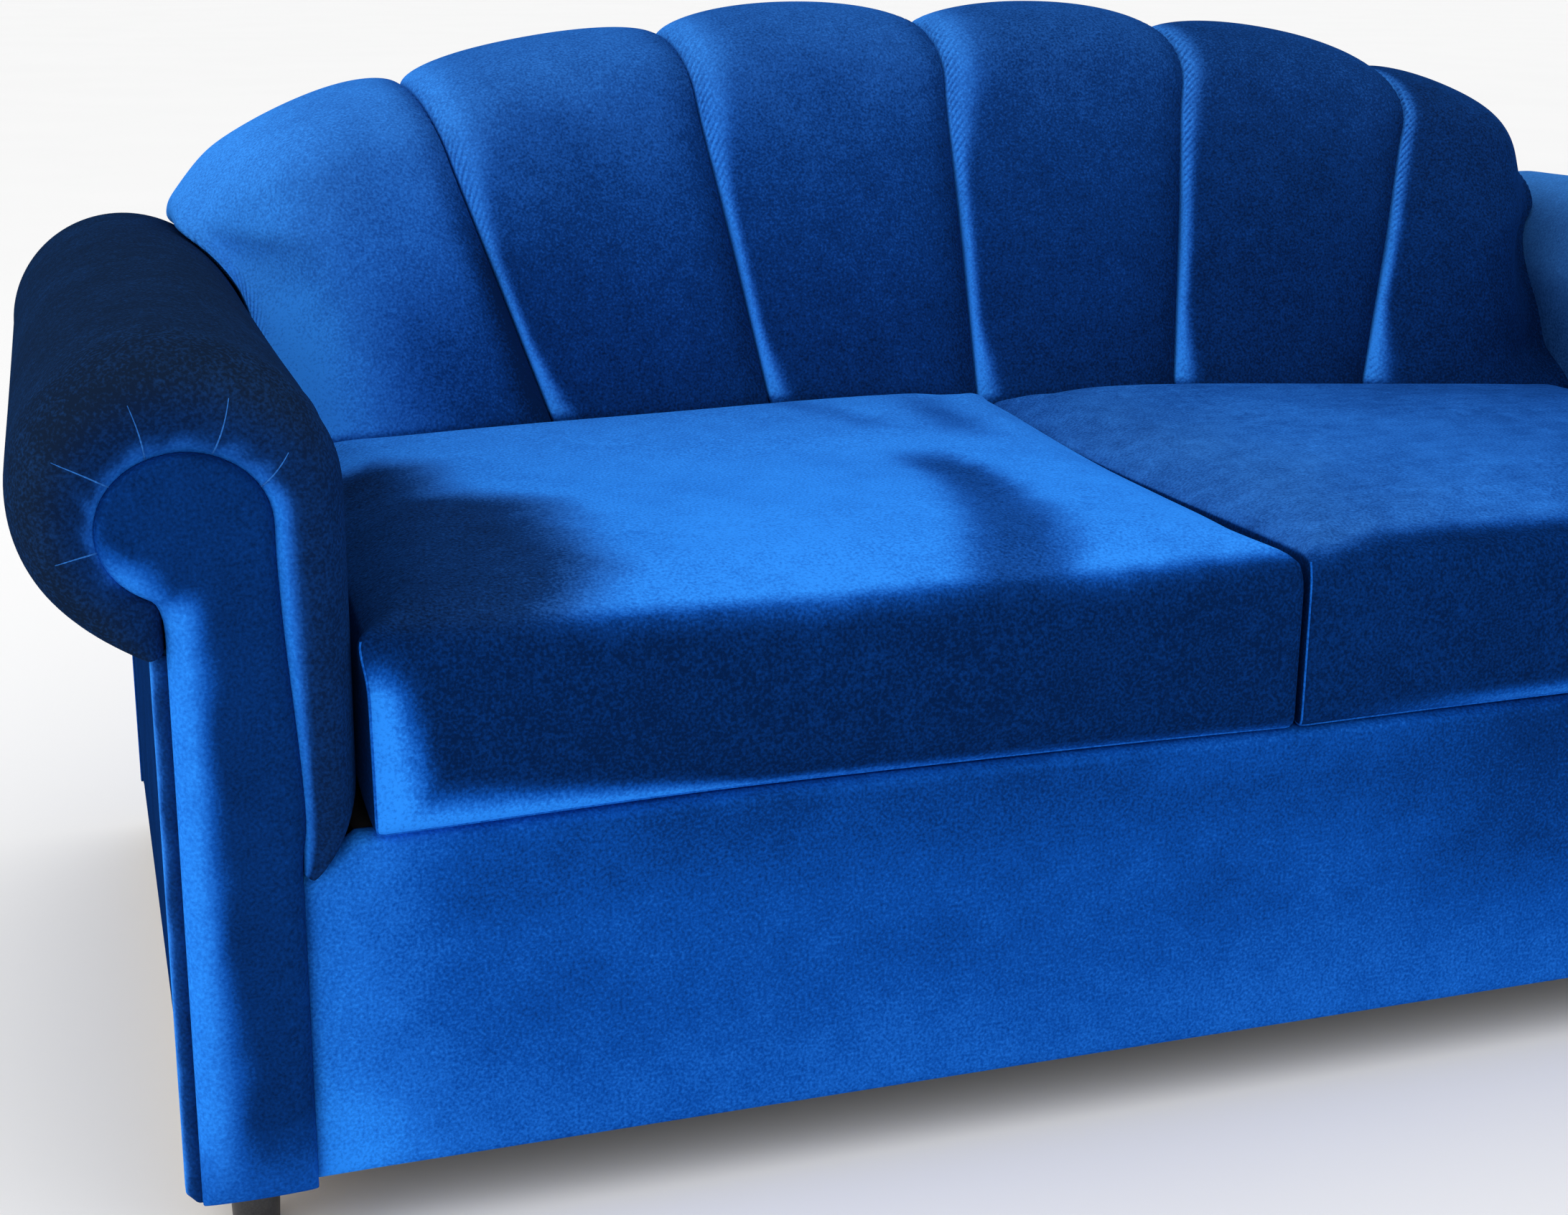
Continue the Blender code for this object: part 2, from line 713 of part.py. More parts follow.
def outside_shape(sign):
    """Outside cover under the roll, with a rolled edge at its front."""

    def shape(u, v, w):
        step = round(v * outside_steps)
        turn = math.pi * min(step / ROLLED_EDGE_STEPS, 1)
        y = OUTSIDE_ROLL_LENGTH / 2 * (1 - math.cos(turn))
        if step > ROLLED_EDGE_STEPS:
            y = arm_stations[step - ROLLED_EDGE_STEPS - 1]
        x = panel_outer + FIT + u * (OUTSIDE_COVER + OUTSIDE_ROLL * math.sin(turn))
        top = lean_down(roll_z + ROLL_RADIUS * math.sin(ROLL_END), y) - OUTSIDE_GAP
        return sign * lean_in(x, y), y, blend(FOOT_REVEAL, top, w)

    return shape


outside_steps = ROLLED_EDGE_STEPS + len(arm_stations)
for side, sign in sides.items():
    block("arm_pad_" + side, (section_steps, len(arm_stations), ARM_CUTS_THICK), arm_shape(sign), velvet)
    upright("arm_front_board_" + side, scroll_outline(sign, 0, timber_base), 0, BOARD, plywood)
    rear_board = scroll_outline(sign, frame_rear, timber_base)
    upright("arm_rear_board_" + side, rear_board, frame_rear - BOARD, BOARD, plywood)
    front_panel = scroll_outline(sign, 0, FOOT_REVEAL)
    upright("arm_front_panel_" + side, front_panel, -ARM_FACING - FIT, ARM_FACING, velvet, FACING_ROUND)
    rear_panel = scroll_outline(sign, frame_rear, FOOT_REVEAL)
    upright("arm_rear_panel_" + side, rear_panel, frame_rear + FIT, REAR_COVER, velvet)
    block("arm_top_rail_" + side, (1, 2, 1), top_rail_shape(sign), timber, soft=False)
    block("outside_arm_" + side, (1, outside_steps, 1), outside_shape(sign), velvet)


# Front rail cover, cut away round the tucked ends of the arm pads

rail_cut = TUCK_RADIUS + 2 * FIT
cut_low = -math.acos((tuck_x - rail_half) / rail_cut)
cut_high = -math.asin(TUCK_RISE / rail_cut)
rail_corner = arc((-tuck_x, tuck_z), (rail_cut,) * 2, cut_low, cut_high, TUCK_STEPS)
rail_outline = [(-rail_half, FOOT_REVEAL)] + rail_corner
rail_outline += [(-x, z) for x, z in reversed(rail_outline)]
upright("front_rail_panel", rail_outline, 0, RAIL_PAD, velvet)


# Feet

foot_top = timber_base - FIT
foot_bore = SCREW_RADIUS + FIT
counterbore = SCREW_HEAD_RADIUS + SCREW_HEAD_CLEAR
screw_ledge = FOOT_COUNTERBORE_DEPTH
foot_profile = [
    (foot_bore, foot_top),
    (FOOT_TOP_RADIUS, foot_top),
    (FOOT_RADIUS, FOOT_EDGE),
    (FOOT_RADIUS - FOOT_EDGE, 0),
    (counterbore, 0),
    (counterbore, screw_ledge),
    (foot_bore, screw_ledge),
]
screw_top = timber_base + SCREW_GRIP
screw_profile = [
    (0, screw_top),
    (SCREW_RADIUS, screw_top - SCREW_RADIUS),
    (SCREW_RADIUS, screw_ledge - FIT),
    (SCREW_HEAD_RADIUS, screw_ledge - FIT),
    (SCREW_HEAD_RADIUS, screw_ledge - FIT - SCREW_HEAD),
    (0, screw_ledge - FIT - SCREW_HEAD),
]
foot_rows = {"front": FOOT_SETBACK, "rear": frame_rear - FOOT_SETBACK}
for row, depth in foot_rows.items():
    for side, sign in sides.items():
        place = (sign * lean_in((panel_inner + panel_outer) / 2, depth), depth, 0)
        turned("foot_%s_%s" % (row, side), foot_profile, black_plastic, place)
        turned("foot_screw_%s_%s" % (row, side), screw_profile, screw_steel, place)
        drill(side_rails[side], place, foot_bore, timber_base - HEM, screw_top + FIT)

print("width", round(2 * (roll_x + ROLL_RADIUS), 4))
print("depth", round(rear_face + ARM_NOSE, 4))
print("height", round(groove_top + SCALLOP, 4))
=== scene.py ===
import json
import math

import bpy
import numpy as np
from mathutils import Matrix, Vector
from mathutils.bvhtree import BVHTree

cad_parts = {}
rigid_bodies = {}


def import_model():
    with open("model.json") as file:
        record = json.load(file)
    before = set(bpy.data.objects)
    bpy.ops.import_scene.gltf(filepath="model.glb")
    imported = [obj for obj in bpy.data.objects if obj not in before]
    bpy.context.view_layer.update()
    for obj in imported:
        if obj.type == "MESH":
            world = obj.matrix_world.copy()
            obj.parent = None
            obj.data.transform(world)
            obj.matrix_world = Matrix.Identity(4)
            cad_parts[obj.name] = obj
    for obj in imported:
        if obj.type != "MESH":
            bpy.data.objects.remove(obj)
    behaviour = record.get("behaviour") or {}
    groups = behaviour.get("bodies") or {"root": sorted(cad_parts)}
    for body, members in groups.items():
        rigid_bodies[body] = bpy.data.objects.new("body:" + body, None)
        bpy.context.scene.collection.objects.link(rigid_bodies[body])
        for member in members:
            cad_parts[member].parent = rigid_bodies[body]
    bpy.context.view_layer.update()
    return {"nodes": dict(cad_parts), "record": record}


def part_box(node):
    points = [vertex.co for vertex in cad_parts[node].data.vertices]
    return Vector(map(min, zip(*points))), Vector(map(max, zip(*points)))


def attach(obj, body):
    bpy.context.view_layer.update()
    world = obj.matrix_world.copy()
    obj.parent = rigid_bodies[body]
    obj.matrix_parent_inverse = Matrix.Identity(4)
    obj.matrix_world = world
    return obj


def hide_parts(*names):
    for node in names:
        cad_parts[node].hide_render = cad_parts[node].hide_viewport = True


for leftover in list(bpy.data.objects):
    bpy.data.objects.remove(leftover, do_unlink=True)
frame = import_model()
scene = bpy.context.scene
print("frame loaded:", len(frame["nodes"]), "nodes")

# Pieces are drawn with y = 0 on the front rail's face, and sewPiece moves them to the frame
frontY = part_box("front_rail_panel")[0].y
hem, seatTop = (corner.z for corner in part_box("front_rail_panel"))
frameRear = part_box("rear_base_rail")[1].y - frontY
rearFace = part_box("outer_back_panel")[1].y - frontY
fit = 0.0004                    # between covers that touch
sides = {"Left": -1, "Right": 1}


def mix(a, b, share):
    return a + (b - a) * share


def shareOf(value, low, high):
    return np.clip((value - low) / (high - low), 0, 1)


def ease(value, low=0.0, high=1.0):
    share = shareOf(value, low, high)
    return share * share * (3 - 2 * share)


def fade(value, low, high):
    return 1 - ease(value, low, high)


def bell(offset, width, power=2):
    return np.exp(-np.abs(offset / width) ** power)


def spread(share, pinch=1.0):
    even = 2 * share - 1
    return mix(even, np.sin(math.pi / 2 * even), pinch)     # from -1 to 1, steps closer together at both ends


def pinched(share, pinch=1.0):
    return (spread(share, pinch) + 1) / 2                   # the same from 0 to 1


def uneven(a, b, size):
    first = np.sin(a / size * 6.3 + 1.7 * np.sin(b / size * 4.1))
    second = np.sin(b / size * 7.9 + 2.3 * np.sin(a / size * 5.3))
    return (first + second) / 2                             # brushed, wavering edge from -1 to 1


# Finishes

velvet = {
    "ramp": [                   # from dark to bright nap level, which holds brushed pile and painted light, shade and sheen
        (0.00, (0.0014, 0.0125, 0.0640)),
        (0.25, (0.0022, 0.0310, 0.1700)),
        (0.50, (0.0036, 0.0690, 0.3700)),
        (0.75, (0.0110, 0.1420, 0.6200)),
        (1.00, (0.0220, 0.2550, 0.9200)),
    ],
    "dusty": [                  # the same where the pile stands up and looks chalky
        (0.00, (0.0054, 0.0130, 0.0330)),
        (0.25, (0.0085, 0.0400, 0.1400)),
        (0.75, (0.0480, 0.1850, 0.4600)),
        (1.00, (0.0700, 0.2900, 0.7400)),
    ],
    "grainScale": 430, "grain": 0.36,
    "brushScale": 46, "brush": 0.07,
    "mottleScale": 7, "mottle": 0.06,
    "pileBump": 0.35, "pileHeight": 0.0006, "roughness": (0.76, 0.96),
    "armGrain": 0.26, "sheenRoughness": 0.35, "sheenTint": (0.04, 0.25, 0.95, 1),
}


class Nodes:
    def __init__(self, tree):
        self.tree = tree

    def put(self, node, values):
        for name, value in values.items():
            socket = node.inputs[name]
            if isinstance(value, bpy.types.NodeSocket):
                self.tree.links.new(value, socket)
            else:
                socket.default_value = value
        return node

    def add(self, kind, values=None, **settings):
        node = self.tree.nodes.new(kind)
        for name, value in settings.items():
            setattr(node, name, value)
        return self.put(node, values or {})

    def first(self, kind, values=None, **settings):
        return self.add(kind, values, **settings).outputs[0]

    def maths(self, operation, a, b):
        return self.first("ShaderNodeMath", {0: a, 1: b}, operation=operation)

    def where(self):
        return self.add("ShaderNodeTexCoord").outputs["Object"]

    def noise(self, where, scale, detail=2.0):
        values = {"Vector": where, "Scale": scale, "Detail": detail}
        return self.add("ShaderNodeTexNoise", values).outputs["Fac"]

    def ramp(self, value, stops):
        node = self.add("ShaderNodeValToRGB", {"Fac": value})
        elements = node.color_ramp.elements
        while len(elements) < len(stops):
            elements.new(0.5)
        for element, (place, colour) in zip(elements, stops):
            element.position = place
            element.color = (*colour, 1)
        return node.outputs["Color"]


def nodeGroup(name, kind, inputs, outputs):
    group = bpy.data.node_groups.new(name, kind + "NodeTree")
    for label, value in inputs.items():
        socketType = "NodeSocketGeometry" if value is None else "NodeSocketFloat"
        socket = group.interface.new_socket(label, in_out="INPUT", socket_type=socketType)
        if value is not None:
            socket.default_value = value
    for label, socketType in outputs.items():
        group.interface.new_socket(label, in_out="OUTPUT", socket_type="NodeSocket" + socketType)
    nodes = Nodes(group)
    return group, nodes, nodes.add("NodeGroupInput").outputs, nodes.add("NodeGroupOutput")


def pileGroup():
    amounts = {label: velvet[label.lower()] for label in ("Grain", "Brush", "Mottle")}
    group, nodes, entry, leave = nodeGroup(
        "brushedPile", "Shader", {"Nap": 0.3, "Haze": 0.0, **amounts},
        {"Colour": "Color", "Roughness": "Float", "Normal": "Vector"},
    )
    where = nodes.where()
    grain = nodes.noise(where, velvet["grainScale"], 3.0)
    textures = (grain, nodes.noise(where, velvet["brushScale"]), nodes.noise(where, velvet["mottleScale"]))
    level = entry["Nap"]
    for label, texture in zip(amounts, textures):
        swing = nodes.maths("SUBTRACT", texture, 0.5)
        amount = nodes.maths("MULTIPLY", entry[label], 2.0)
        level = nodes.maths("ADD", level, nodes.maths("MULTIPLY", swing, amount))
    colours = {0: entry["Haze"], 6: nodes.ramp(level, velvet["ramp"]), 7: nodes.ramp(level, velvet["dusty"])}
    smooth, rough = velvet["roughness"]
    nodes.put(leave, {
        "Colour": nodes.add("ShaderNodeMix", colours, data_type="RGBA").outputs[2],
        "Roughness": nodes.maths("ADD", nodes.maths("MULTIPLY", grain, rough - smooth), smooth),
        "Normal": nodes.first("ShaderNodeBump", {
            "Height": grain, "Strength": velvet["pileBump"], "Distance": velvet["pileHeight"],
        }),
    })
    return group


def newFinish(name):
    finish = bpy.data.materials.new(name)
    finish.use_nodes = True
    return finish, Nodes(finish.node_tree), finish.node_tree.nodes["Principled BSDF"]


brushedPile = pileGroup()


def velvetFinish(name, sheen, grain):
    finish, nodes, shader = newFinish(name)
    values = {"Grain": grain}
    for label in ("Nap", "Haze"):
        values[label] = nodes.add("ShaderNodeAttribute", attribute_name=label.lower()).outputs["Fac"]
    pile = nodes.add("ShaderNodeGroup", values, node_tree=brushedPile).outputs
    nodes.put(shader, {
        "Base Color": pile["Colour"], "Roughness": pile["Roughness"], "Normal": pile["Normal"],
        "Specular IOR Level": 0.0, "Sheen Weight": sheen, "Sheen Roughness": velvet["sheenRoughness"],
        "Sheen Tint": velvet["sheenTint"],
    })
    return finish


seatVelvet = velvetFinish("blue velvet, seat and back", 0.06, velvet["grain"])
armVelvet = velvetFinish("blue velvet, arms", 0.02, velvet["armGrain"])


def patternGroup(name, makeHeight):
    group, nodes, entry, leave = nodeGroup(
        name, "Shader", {"Scale": 100.0, "Bump": 0.3}, {"Pattern": "Float", "Normal": "Vector"},
    )
    height = makeHeight(nodes, nodes.where(), entry["Scale"])
    bump = nodes.first("ShaderNodeBump", {"Height": height, "Strength": entry["Bump"], "Distance": 0.0004})
    nodes.put(leave, {"Pattern": height, "Normal": bump})
    return group


def weaveHeight(nodes, where, scale):
    threads = []
    for direction in ("X", "Y"):
        values = {"Vector": where, "Scale": scale, "Distortion": 0.4, "Detail": 1.0}
        wave = nodes.add("ShaderNodeTexWave", values, wave_type="BANDS", bands_direction=direction)
        threads.append(wave.outputs["Fac"])
    return nodes.maths("MULTIPLY", nodes.maths("ADD", *threads), 0.5)


def grainHeight(nodes, where, scale):
    stretched = nodes.first("ShaderNodeMapping", {"Vector": where, "Scale": (0.35, 0.35, 0.05)})
    warp = nodes.add("ShaderNodeTexNoise", {"Vector": stretched, "Scale": 3.0}).outputs["Color"]
    moved = nodes.first("ShaderNodeVectorMath", {0: stretched, 1: warp}, operation="ADD")
    return nodes.noise(moved, scale, 5.0)


def speckHeight(nodes, where, scale):
    return nodes.noise(where, scale, 4.0)


clothWeave = patternGroup("plainWeave", weaveHeight)
woodGrain = patternGroup("woodGrain", grainHeight)
fineSpeck = patternGroup("fineSpeck", speckHeight)


def patternFinish(name, group, scale, bump, dark, light, roughness, metallic=0.0):
    finish, nodes, shader = newFinish(name)
    node = nodes.add("ShaderNodeGroup", {"Scale": scale, "Bump": bump}, node_tree=group)
    pattern = node.outputs["Pattern"]
    nodes.put(shader, {
        "Base Color": nodes.ramp(pattern, [(0.3, dark), (0.7, light)]), "Normal": node.outputs["Normal"],
        "Roughness": nodes.maths("ADD", nodes.maths("MULTIPLY", pattern, 0.15), roughness - 0.07),
        "Metallic": metallic,
    })
    return finish


finishes = {slot: patternFinish(*values) for slot, values in {
    "pine": ("raw pine", woodGrain, 26, 0.3, (0.40, 0.24, 0.11), (0.62, 0.45, 0.26), 0.70),
    "plywood": ("raw plywood", woodGrain, 40, 0.25, (0.46, 0.31, 0.16), (0.66, 0.50, 0.31), 0.70),
    "spring_steel": (
        "oiled spring wire", fineSpeck, 300, 0.15, (0.16, 0.16, 0.17), (0.34, 0.34, 0.35), 0.38, 1,
    ),
    "screw_steel": (
        "zinc plated screw", fineSpeck, 500, 0.10, (0.46, 0.46, 0.44), (0.66, 0.66, 0.63), 0.30, 1,
    ),
    "platform_cloth": (
        "black platform cloth", clothWeave, 340, 0.6, (0.008, 0.009, 0.012), (0.030, 0.032, 0.040), 0.90,
    ),
    "black_cloth": (
        "black dust cloth", fineSpeck, 900, 0.5, (0.010, 0.010, 0.010), (0.032, 0.032, 0.033), 0.92,
    ),
    "black_plastic": (
        "moulded black plastic", fineSpeck, 650, 0.2, (0.012, 0.012, 0.013), (0.030, 0.030, 0.032), 0.42,
    ),
}.items()}
for subpart in frame["record"]["subparts"]:
    finish = finishes.get(subpart["material_slot"])
    if finish:
        frame["nodes"][subpart["node"]].data.materials.clear()
        frame["nodes"][subpart["node"]].data.materials.append(finish)
print("finishes made:", len(finishes) + 2)


# Sewing: closed pieces shaped from a box of points, stuffed by cloth simulation

def boxGrid(cuts):
    counts = np.array(cuts) + 1
    grid = np.indices(counts)
    last = np.array(cuts).reshape(3, 1, 1, 1)
    skin = ((grid == 0) | (grid == last)).any(0)
    number = np.full(counts, -1)
    number[skin] = np.arange(skin.sum())
    quads = []
    for axis in range(3):
        for end in (0, cuts[axis]):
            face = np.take(number, end, axis=axis)
            quad = np.stack([face[:-1, :-1], face[1:, :-1], face[1:, 1:], face[:-1, 1:]], -1).reshape(-1, 4)
            quads.append(quad if (end > 0) != (axis == 1) else quad[:, ::-1])
    return grid[:, skin].T / np.array(cuts), np.concatenate(quads)


def meshOf(name, points, faces, finish):
    mesh = bpy.data.meshes.new(name)
    mesh.from_pydata(points.tolist(), [], faces.tolist())
    mesh.materials.append(finish)
    mesh.shade_smooth()
    return mesh


def show(name, mesh):
    piece = bpy.data.objects.new(name, mesh)
    scene.collection.objects.link(piece)
    return piece


def store(mesh, name, values):
    layer = mesh.attributes.get(name) or mesh.attributes.new(name, "FLOAT", "POINT")
    layer.data.foreach_set("value", np.ascontiguousarray(values, dtype=np.float32))


def readOut(data, key, width=1):
    values = np.zeros(len(data) * width, np.float32)
    data.foreach_get(key, values)
    return values.reshape(-1, width).astype(float)


def places(mesh):
    return readOut(mesh.vertices, "co", 3) - (0, frontY, 0)


def setPlaces(mesh, points):
    moved = (points + (0, frontY, 0)).astype(np.float32)
    mesh.vertices.foreach_set("co", moved.ravel())
    mesh.update()


def normals(mesh):
    return readOut(mesh.vertex_normals, "vector", 3)


latticeNames = ("across", "along", "depth")


def sewPiece(name, cuts, shape, finish):
    shares, quads = boxGrid(cuts)
    points = np.stack(np.broadcast_arrays(*shape(*shares.T)), 1)
    first, second, third, fourth = points[quads].swapaxes(0, 1)
    volume = np.sum(first * (np.cross(second, third) + np.cross(third, fourth)))
    if volume < 0:                                          # turned inside out
        quads = quads[:, ::-1]
    mesh = meshOf(name, points + (0, frontY, 0), quads, finish)
    for label, column in zip(latticeNames, shares.T):
        store(mesh, label, column)
    return show(name, mesh)


def lattice(piece):
    return [readOut(piece.data.attributes[label].data, "value")[:, 0] for label in latticeNames]


def atEnd(share):
    return np.abs(share - 0.5) > 0.499


def applied(piece):
    graph = bpy.context.evaluated_depsgraph_get()
    made = piece.evaluated_get(graph)
    return bpy.data.meshes.new_from_object(made, preserve_all_data_layers=True, depsgraph=graph)


def stuff(piece, sewn, limit, pressure, stiffness=15.0, frames=20):
    start = places(piece.data)
    group = piece.vertex_groups.new(name="sewn")
    group.add(np.flatnonzero(sewn).tolist(), 1.0, "REPLACE")
    cloth = piece.modifiers.new("stuffing", "CLOTH")
    cloth.settings.vertex_group_mass = "sewn"
    cloth.settings.use_pressure = True
    cloth.settings.uniform_pressure_force = pressure
    cloth.settings.effector_weights.gravity = 0
    cloth.settings.tension_stiffness = stiffness
    cloth.settings.compression_stiffness = stiffness
    cloth.settings.shear_stiffness = stiffness / 3
    cloth.settings.bending_stiffness = 2.0
    cloth.collision_settings.use_collision = False
    cloth.point_cache.frame_start = 1
    cloth.point_cache.frame_end = frames
    for step in range(1, frames + 1):
        scene.frame_set(step)
    swollen = applied(piece)
    moved = places(swollen) - start
    piece.modifiers.remove(cloth)
    piece.vertex_groups.clear()
    bpy.data.meshes.remove(swollen)
    scene.frame_set(1)
    reach = np.linalg.norm(moved, axis=1)
    moved *= np.minimum(1, limit / np.maximum(reach, 1e-9))[:, None]
    setPlaces(piece.data, start + moved)
    print("stuffed", piece.name, "free swell up to", round(reach.max() * 1000, 1), "mm")


def refine(piece, levels):
    smoother = piece.modifiers.new("refine", "SUBSURF")
    smoother.levels = levels
    smoother.render_levels = levels
    fine = applied(piece)
    piece.modifiers.remove(smoother)
    old = piece.data
    piece.data = fine
    fine.name = piece.name
    bpy.data.meshes.remove(old)
    fine.shade_smooth()


# nap and haze hold brushed pile and also painted light, shade and sheen
def brush(piece, nap, haze=0.0):
    count = len(piece.data.vertices)
    store(piece.data, "nap", np.broadcast_to(nap, count))
    store(piece.data, "haze", np.broadcast_to(haze, count))


def handOver(piece, node=None, body="base"):
    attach(piece, body)
    if node:
        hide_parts(node)


# Seat cushions

seat = {
    "half": 0.725, "depth": 0.62, "under": seatTop + fit, "boxed": 0.136, "height": 0.142, "crown": 0.012,
    "edge": 0.028, "edgeLow": 0.006, "edgeSide": 0.014, "edgeSplit": 0.005, "edgeRear": 0.012,
    "splitRound": 0.003,                           # added to edgeSplit towards the front
    "rearLeft": (0.010, 0.0, 0.011), "rearRight": (0.004, -0.028, 0.016),     # lift by split, arm, halfway
    "draw": 0.006, "front": 0.004, "kick": 0.009, "sideGap": 0.008, "rearGap": 0.003, "split": 0.0016,
    "gapOpens": 0.050, "gapReach": (0.034, 0.19), "gapDraw": 0.0095,     # the split opens behind its front
    "square": 6.0,                                 # how square the upright corners are
    "cuts": (46, 40, 12), "pinch": 0.75,
    "sheenFront": 0.012,                             # the painted top sheen turns over to the front up to here
    "topSheenNap": (0.93, 0.66), "topHaze": (0.14, 0.26), "frontLitNap": (0.07, 0.09),     # left and right; painted sheen makes the tops bright, the fronts stay dark
    "ear": (0.010, 0.005), "earReach": 0.018,      # point of cloth at the corners beside the arms
    "pressure": 4.0, "topSwell": 0.007, "sideSwell": 0.0025,
}
cushionTop = seat["under"] + seat["boxed"]
back = {
    "rake": 0.36, "rise": 0.354, "shoulder": 0.755, "shoulderRight": 0.727, "shoulderDrop": 0.145,
    "archPower": 2.9, "sag": 0.036, "pad": 0.08, "foot": 0.2165, "head": 0.2725,
    "bulge": 0.028, "bulgeLow": 0.012, "bulgeReach": 0.15,
    "scallop": 0.024, "pillow": 2.3, "crestRound": 0.06, "crestRear": 0.0535, "crestInset": 0.035,
    "rearLip": 0.1, "armGap": 0.0012, "seamGap": 0.0001,
    "bulgeEase": 0.014,                                          # flatter below the crest
    "endFoot": 0.080, "endPad": 0.045, "endThin": 0.008,         # padding at the outer ends, thinner upwards
    "endRound": (0.013, 0.023), "crestLift": (0.003, -0.005, 0.006, 0.006, 0.0, 0.0),
    "cuts": (22, 72, 2), "crestFrom": 0.62, "crestTo": 0.88,     # rows where the crest turns over
    "pressure": 3.0, "swell": 0.005,
    "gatherPitch": 0.0080, "gatherHeight": 0.0012, "gatherReach": 0.014, "gatherSpan": 0.12,
    "width": 0.22,                                               # of one channel, for its brushing
}
arm = {
    "height": 0.653, "fall": 0.0235, "toe": 0.033, "roll": 0.105, "rollEnd": math.radians(-73), "pad": 0.039,
    "topPad": 0.074, "panelWidth": 0.078, "scrollWidth": 0.117, "scrollHeight": 0.096, "facing": 0.018,
    "seamLean": 0.011,                             # the front panel narrows towards its head
    "nose": 0.02, "noseDepth": 0.05, "seamDepth": 0.014, "noseLevel": math.sin(math.pi / 5),
    "tuck": 0.0475, "tuckRise": 0.024, "tuckTurn": math.radians(70),
    "cuts": (72, 34, 9), "neckShare": 0.07, "rollShare": 0.60, "faceShare": 0.92,   # shares of the steps
    "turnStop": 0.022,                             # the arm leans in up to here from the rear
    "neckGap": 0.0005, "pressure": 1.5, "swell": 0.003,
}
turnStart, turnEnd = arm["noseDepth"], frameRear - arm["turnStop"]
panelInner = seat["half"] + arm["pad"]
panelOuter = panelInner + arm["panelWidth"]
rollX, rollZ = seat["half"] + arm["roll"], arm["height"] - arm["roll"]
scrollHalf, scrollRise = arm["scrollWidth"] / 2, arm["scrollHeight"] / 2
scrollX = panelInner + scrollHalf
scrollZ = arm["height"] - arm["topPad"] - scrollRise
neckAngle = -math.acos((panelOuter - scrollX) / scrollHalf)
tuckX, tuckZ = seat["half"] + arm["tuck"], seatTop + arm["tuckRise"]
crestLine = rearFace - back["crestRear"]
grooveTop = cushionTop + back["rise"]


def armShare(y):
    return shareOf(y, turnStart, turnEnd)


def leanIn(x, y):
    return x - arm["toe"] * armShare(y)


def leanDown(z, y):
    return z - arm["fall"] * armShare(y)


def boardY(z):
    return seat["depth"] + back["pad"] + back["rake"] * (z - cushionTop)


def grooveY(x, z):
    return seat["depth"] + back["rake"] * (z - cushionTop) - back["sag"] * (x / seat["half"]) ** 2


def archZ(x):
    return grooveTop - back["shoulderDrop"] * (np.abs(x) / back["shoulder"]) ** back["archPower"]


def rolledBack(outward, sign, z):
    full = mix(0.35, 1.0, ease(z, 0.46, 0.70)) if sign < 0 else 1.0     # the left end is fuller by the seat
    return full * ease(outward, 0.40, 1.0) ** 1.5


def endY(z):
    foot = mix(back["endFoot"], back["endPad"], ease(z, cushionTop - 0.015, cushionTop + 0.025))
    return boardY(z) - mix(foot, back["endThin"], ease(z, 0.48, 0.62))


def rearLift(sign, s):
    bySplit, byArm, halfway = seat["rearLeft"] if sign < 0 else seat["rearRight"]
    return mix(bySplit, byArm, (s + 1) / 2) + halfway * (1 - s ** 4)


def cushionShape(sign):
    width = seat["half"] - seat["sideGap"] - seat["split"] / 2
    half = np.array([width, seat["depth"], seat["height"]]) / 2
    middle = seat["split"] / 2 + half[0]

    def shape(u, v, w):
        s, r, t = (spread(share, seat["pinch"]) for share in (u, v, w))
        corner = np.stack([s, r, t]) * half[:, None]
        edges = np.stack([
            np.where(s < 0, seat["edgeSplit"] + seat["splitRound"] * ease(-r, 0.5, 0.85), seat["edgeSide"]),
            np.where(r < 0, seat["edge"], seat["edgeRear"]),
            np.where(t < 0, seat["edgeLow"], seat["edge"]),
        ])
        core = half[:, None] - edges
        inner = np.clip(corner, -core, core)
        out = (corner - inner) / edges
        plan = (np.abs(out[0]) ** seat["square"] + np.abs(out[1]) ** seat["square"]) ** (1 / seat["square"])
        point = inner + out * edges / np.maximum(np.hypot(plan, out[2]), 1e-9)
        rise = point[2] / seat["height"] + 0.5
        z = seat["under"] + rise * seat["height"]
        crown = seat["crown"] * (1 - s ** 4) * (1 - np.minimum(r, 0) ** 4)
        crown = mix(crown, rearLift(sign, s), ease(r, 0.0, 1.0))
        depth = (r + 1) / 2 * seat["depth"]
        behind = depth - seat["gapOpens"]
        opened = bell(behind, np.where(behind < 0, *seat["gapReach"]))
        drawn = np.where(s < 0, seat["gapDraw"] * opened, seat["draw"] * (1 - r * r))
        x = sign * (middle + point[0] - s * np.abs(s) * drawn)
        level = np.minimum(z, cushionTop)
        rear = grooveY(x, level) - back["bulgeLow"]
        outward = (np.abs(x) - 2 * back["foot"]) / (seat["half"] - arm["toe"] - 2 * back["foot"])
        rear = mix(rear, boardY(level) - back["endFoot"], rolledBack(outward, sign, level)) - seat["rearGap"]
        kick = seat["kick"] * ease(s, 0.2, 1.0) * ease(1 - rise, 0.2, 1.0)
        front = seat["draw"] * (1 - s * s) - seat["front"] - kick
        y = mix(front, rear, point[1] / seat["depth"] + 0.5)
        return x * leanIn(seat["half"], y) / seat["half"], y, z + crown * rise

    return shape


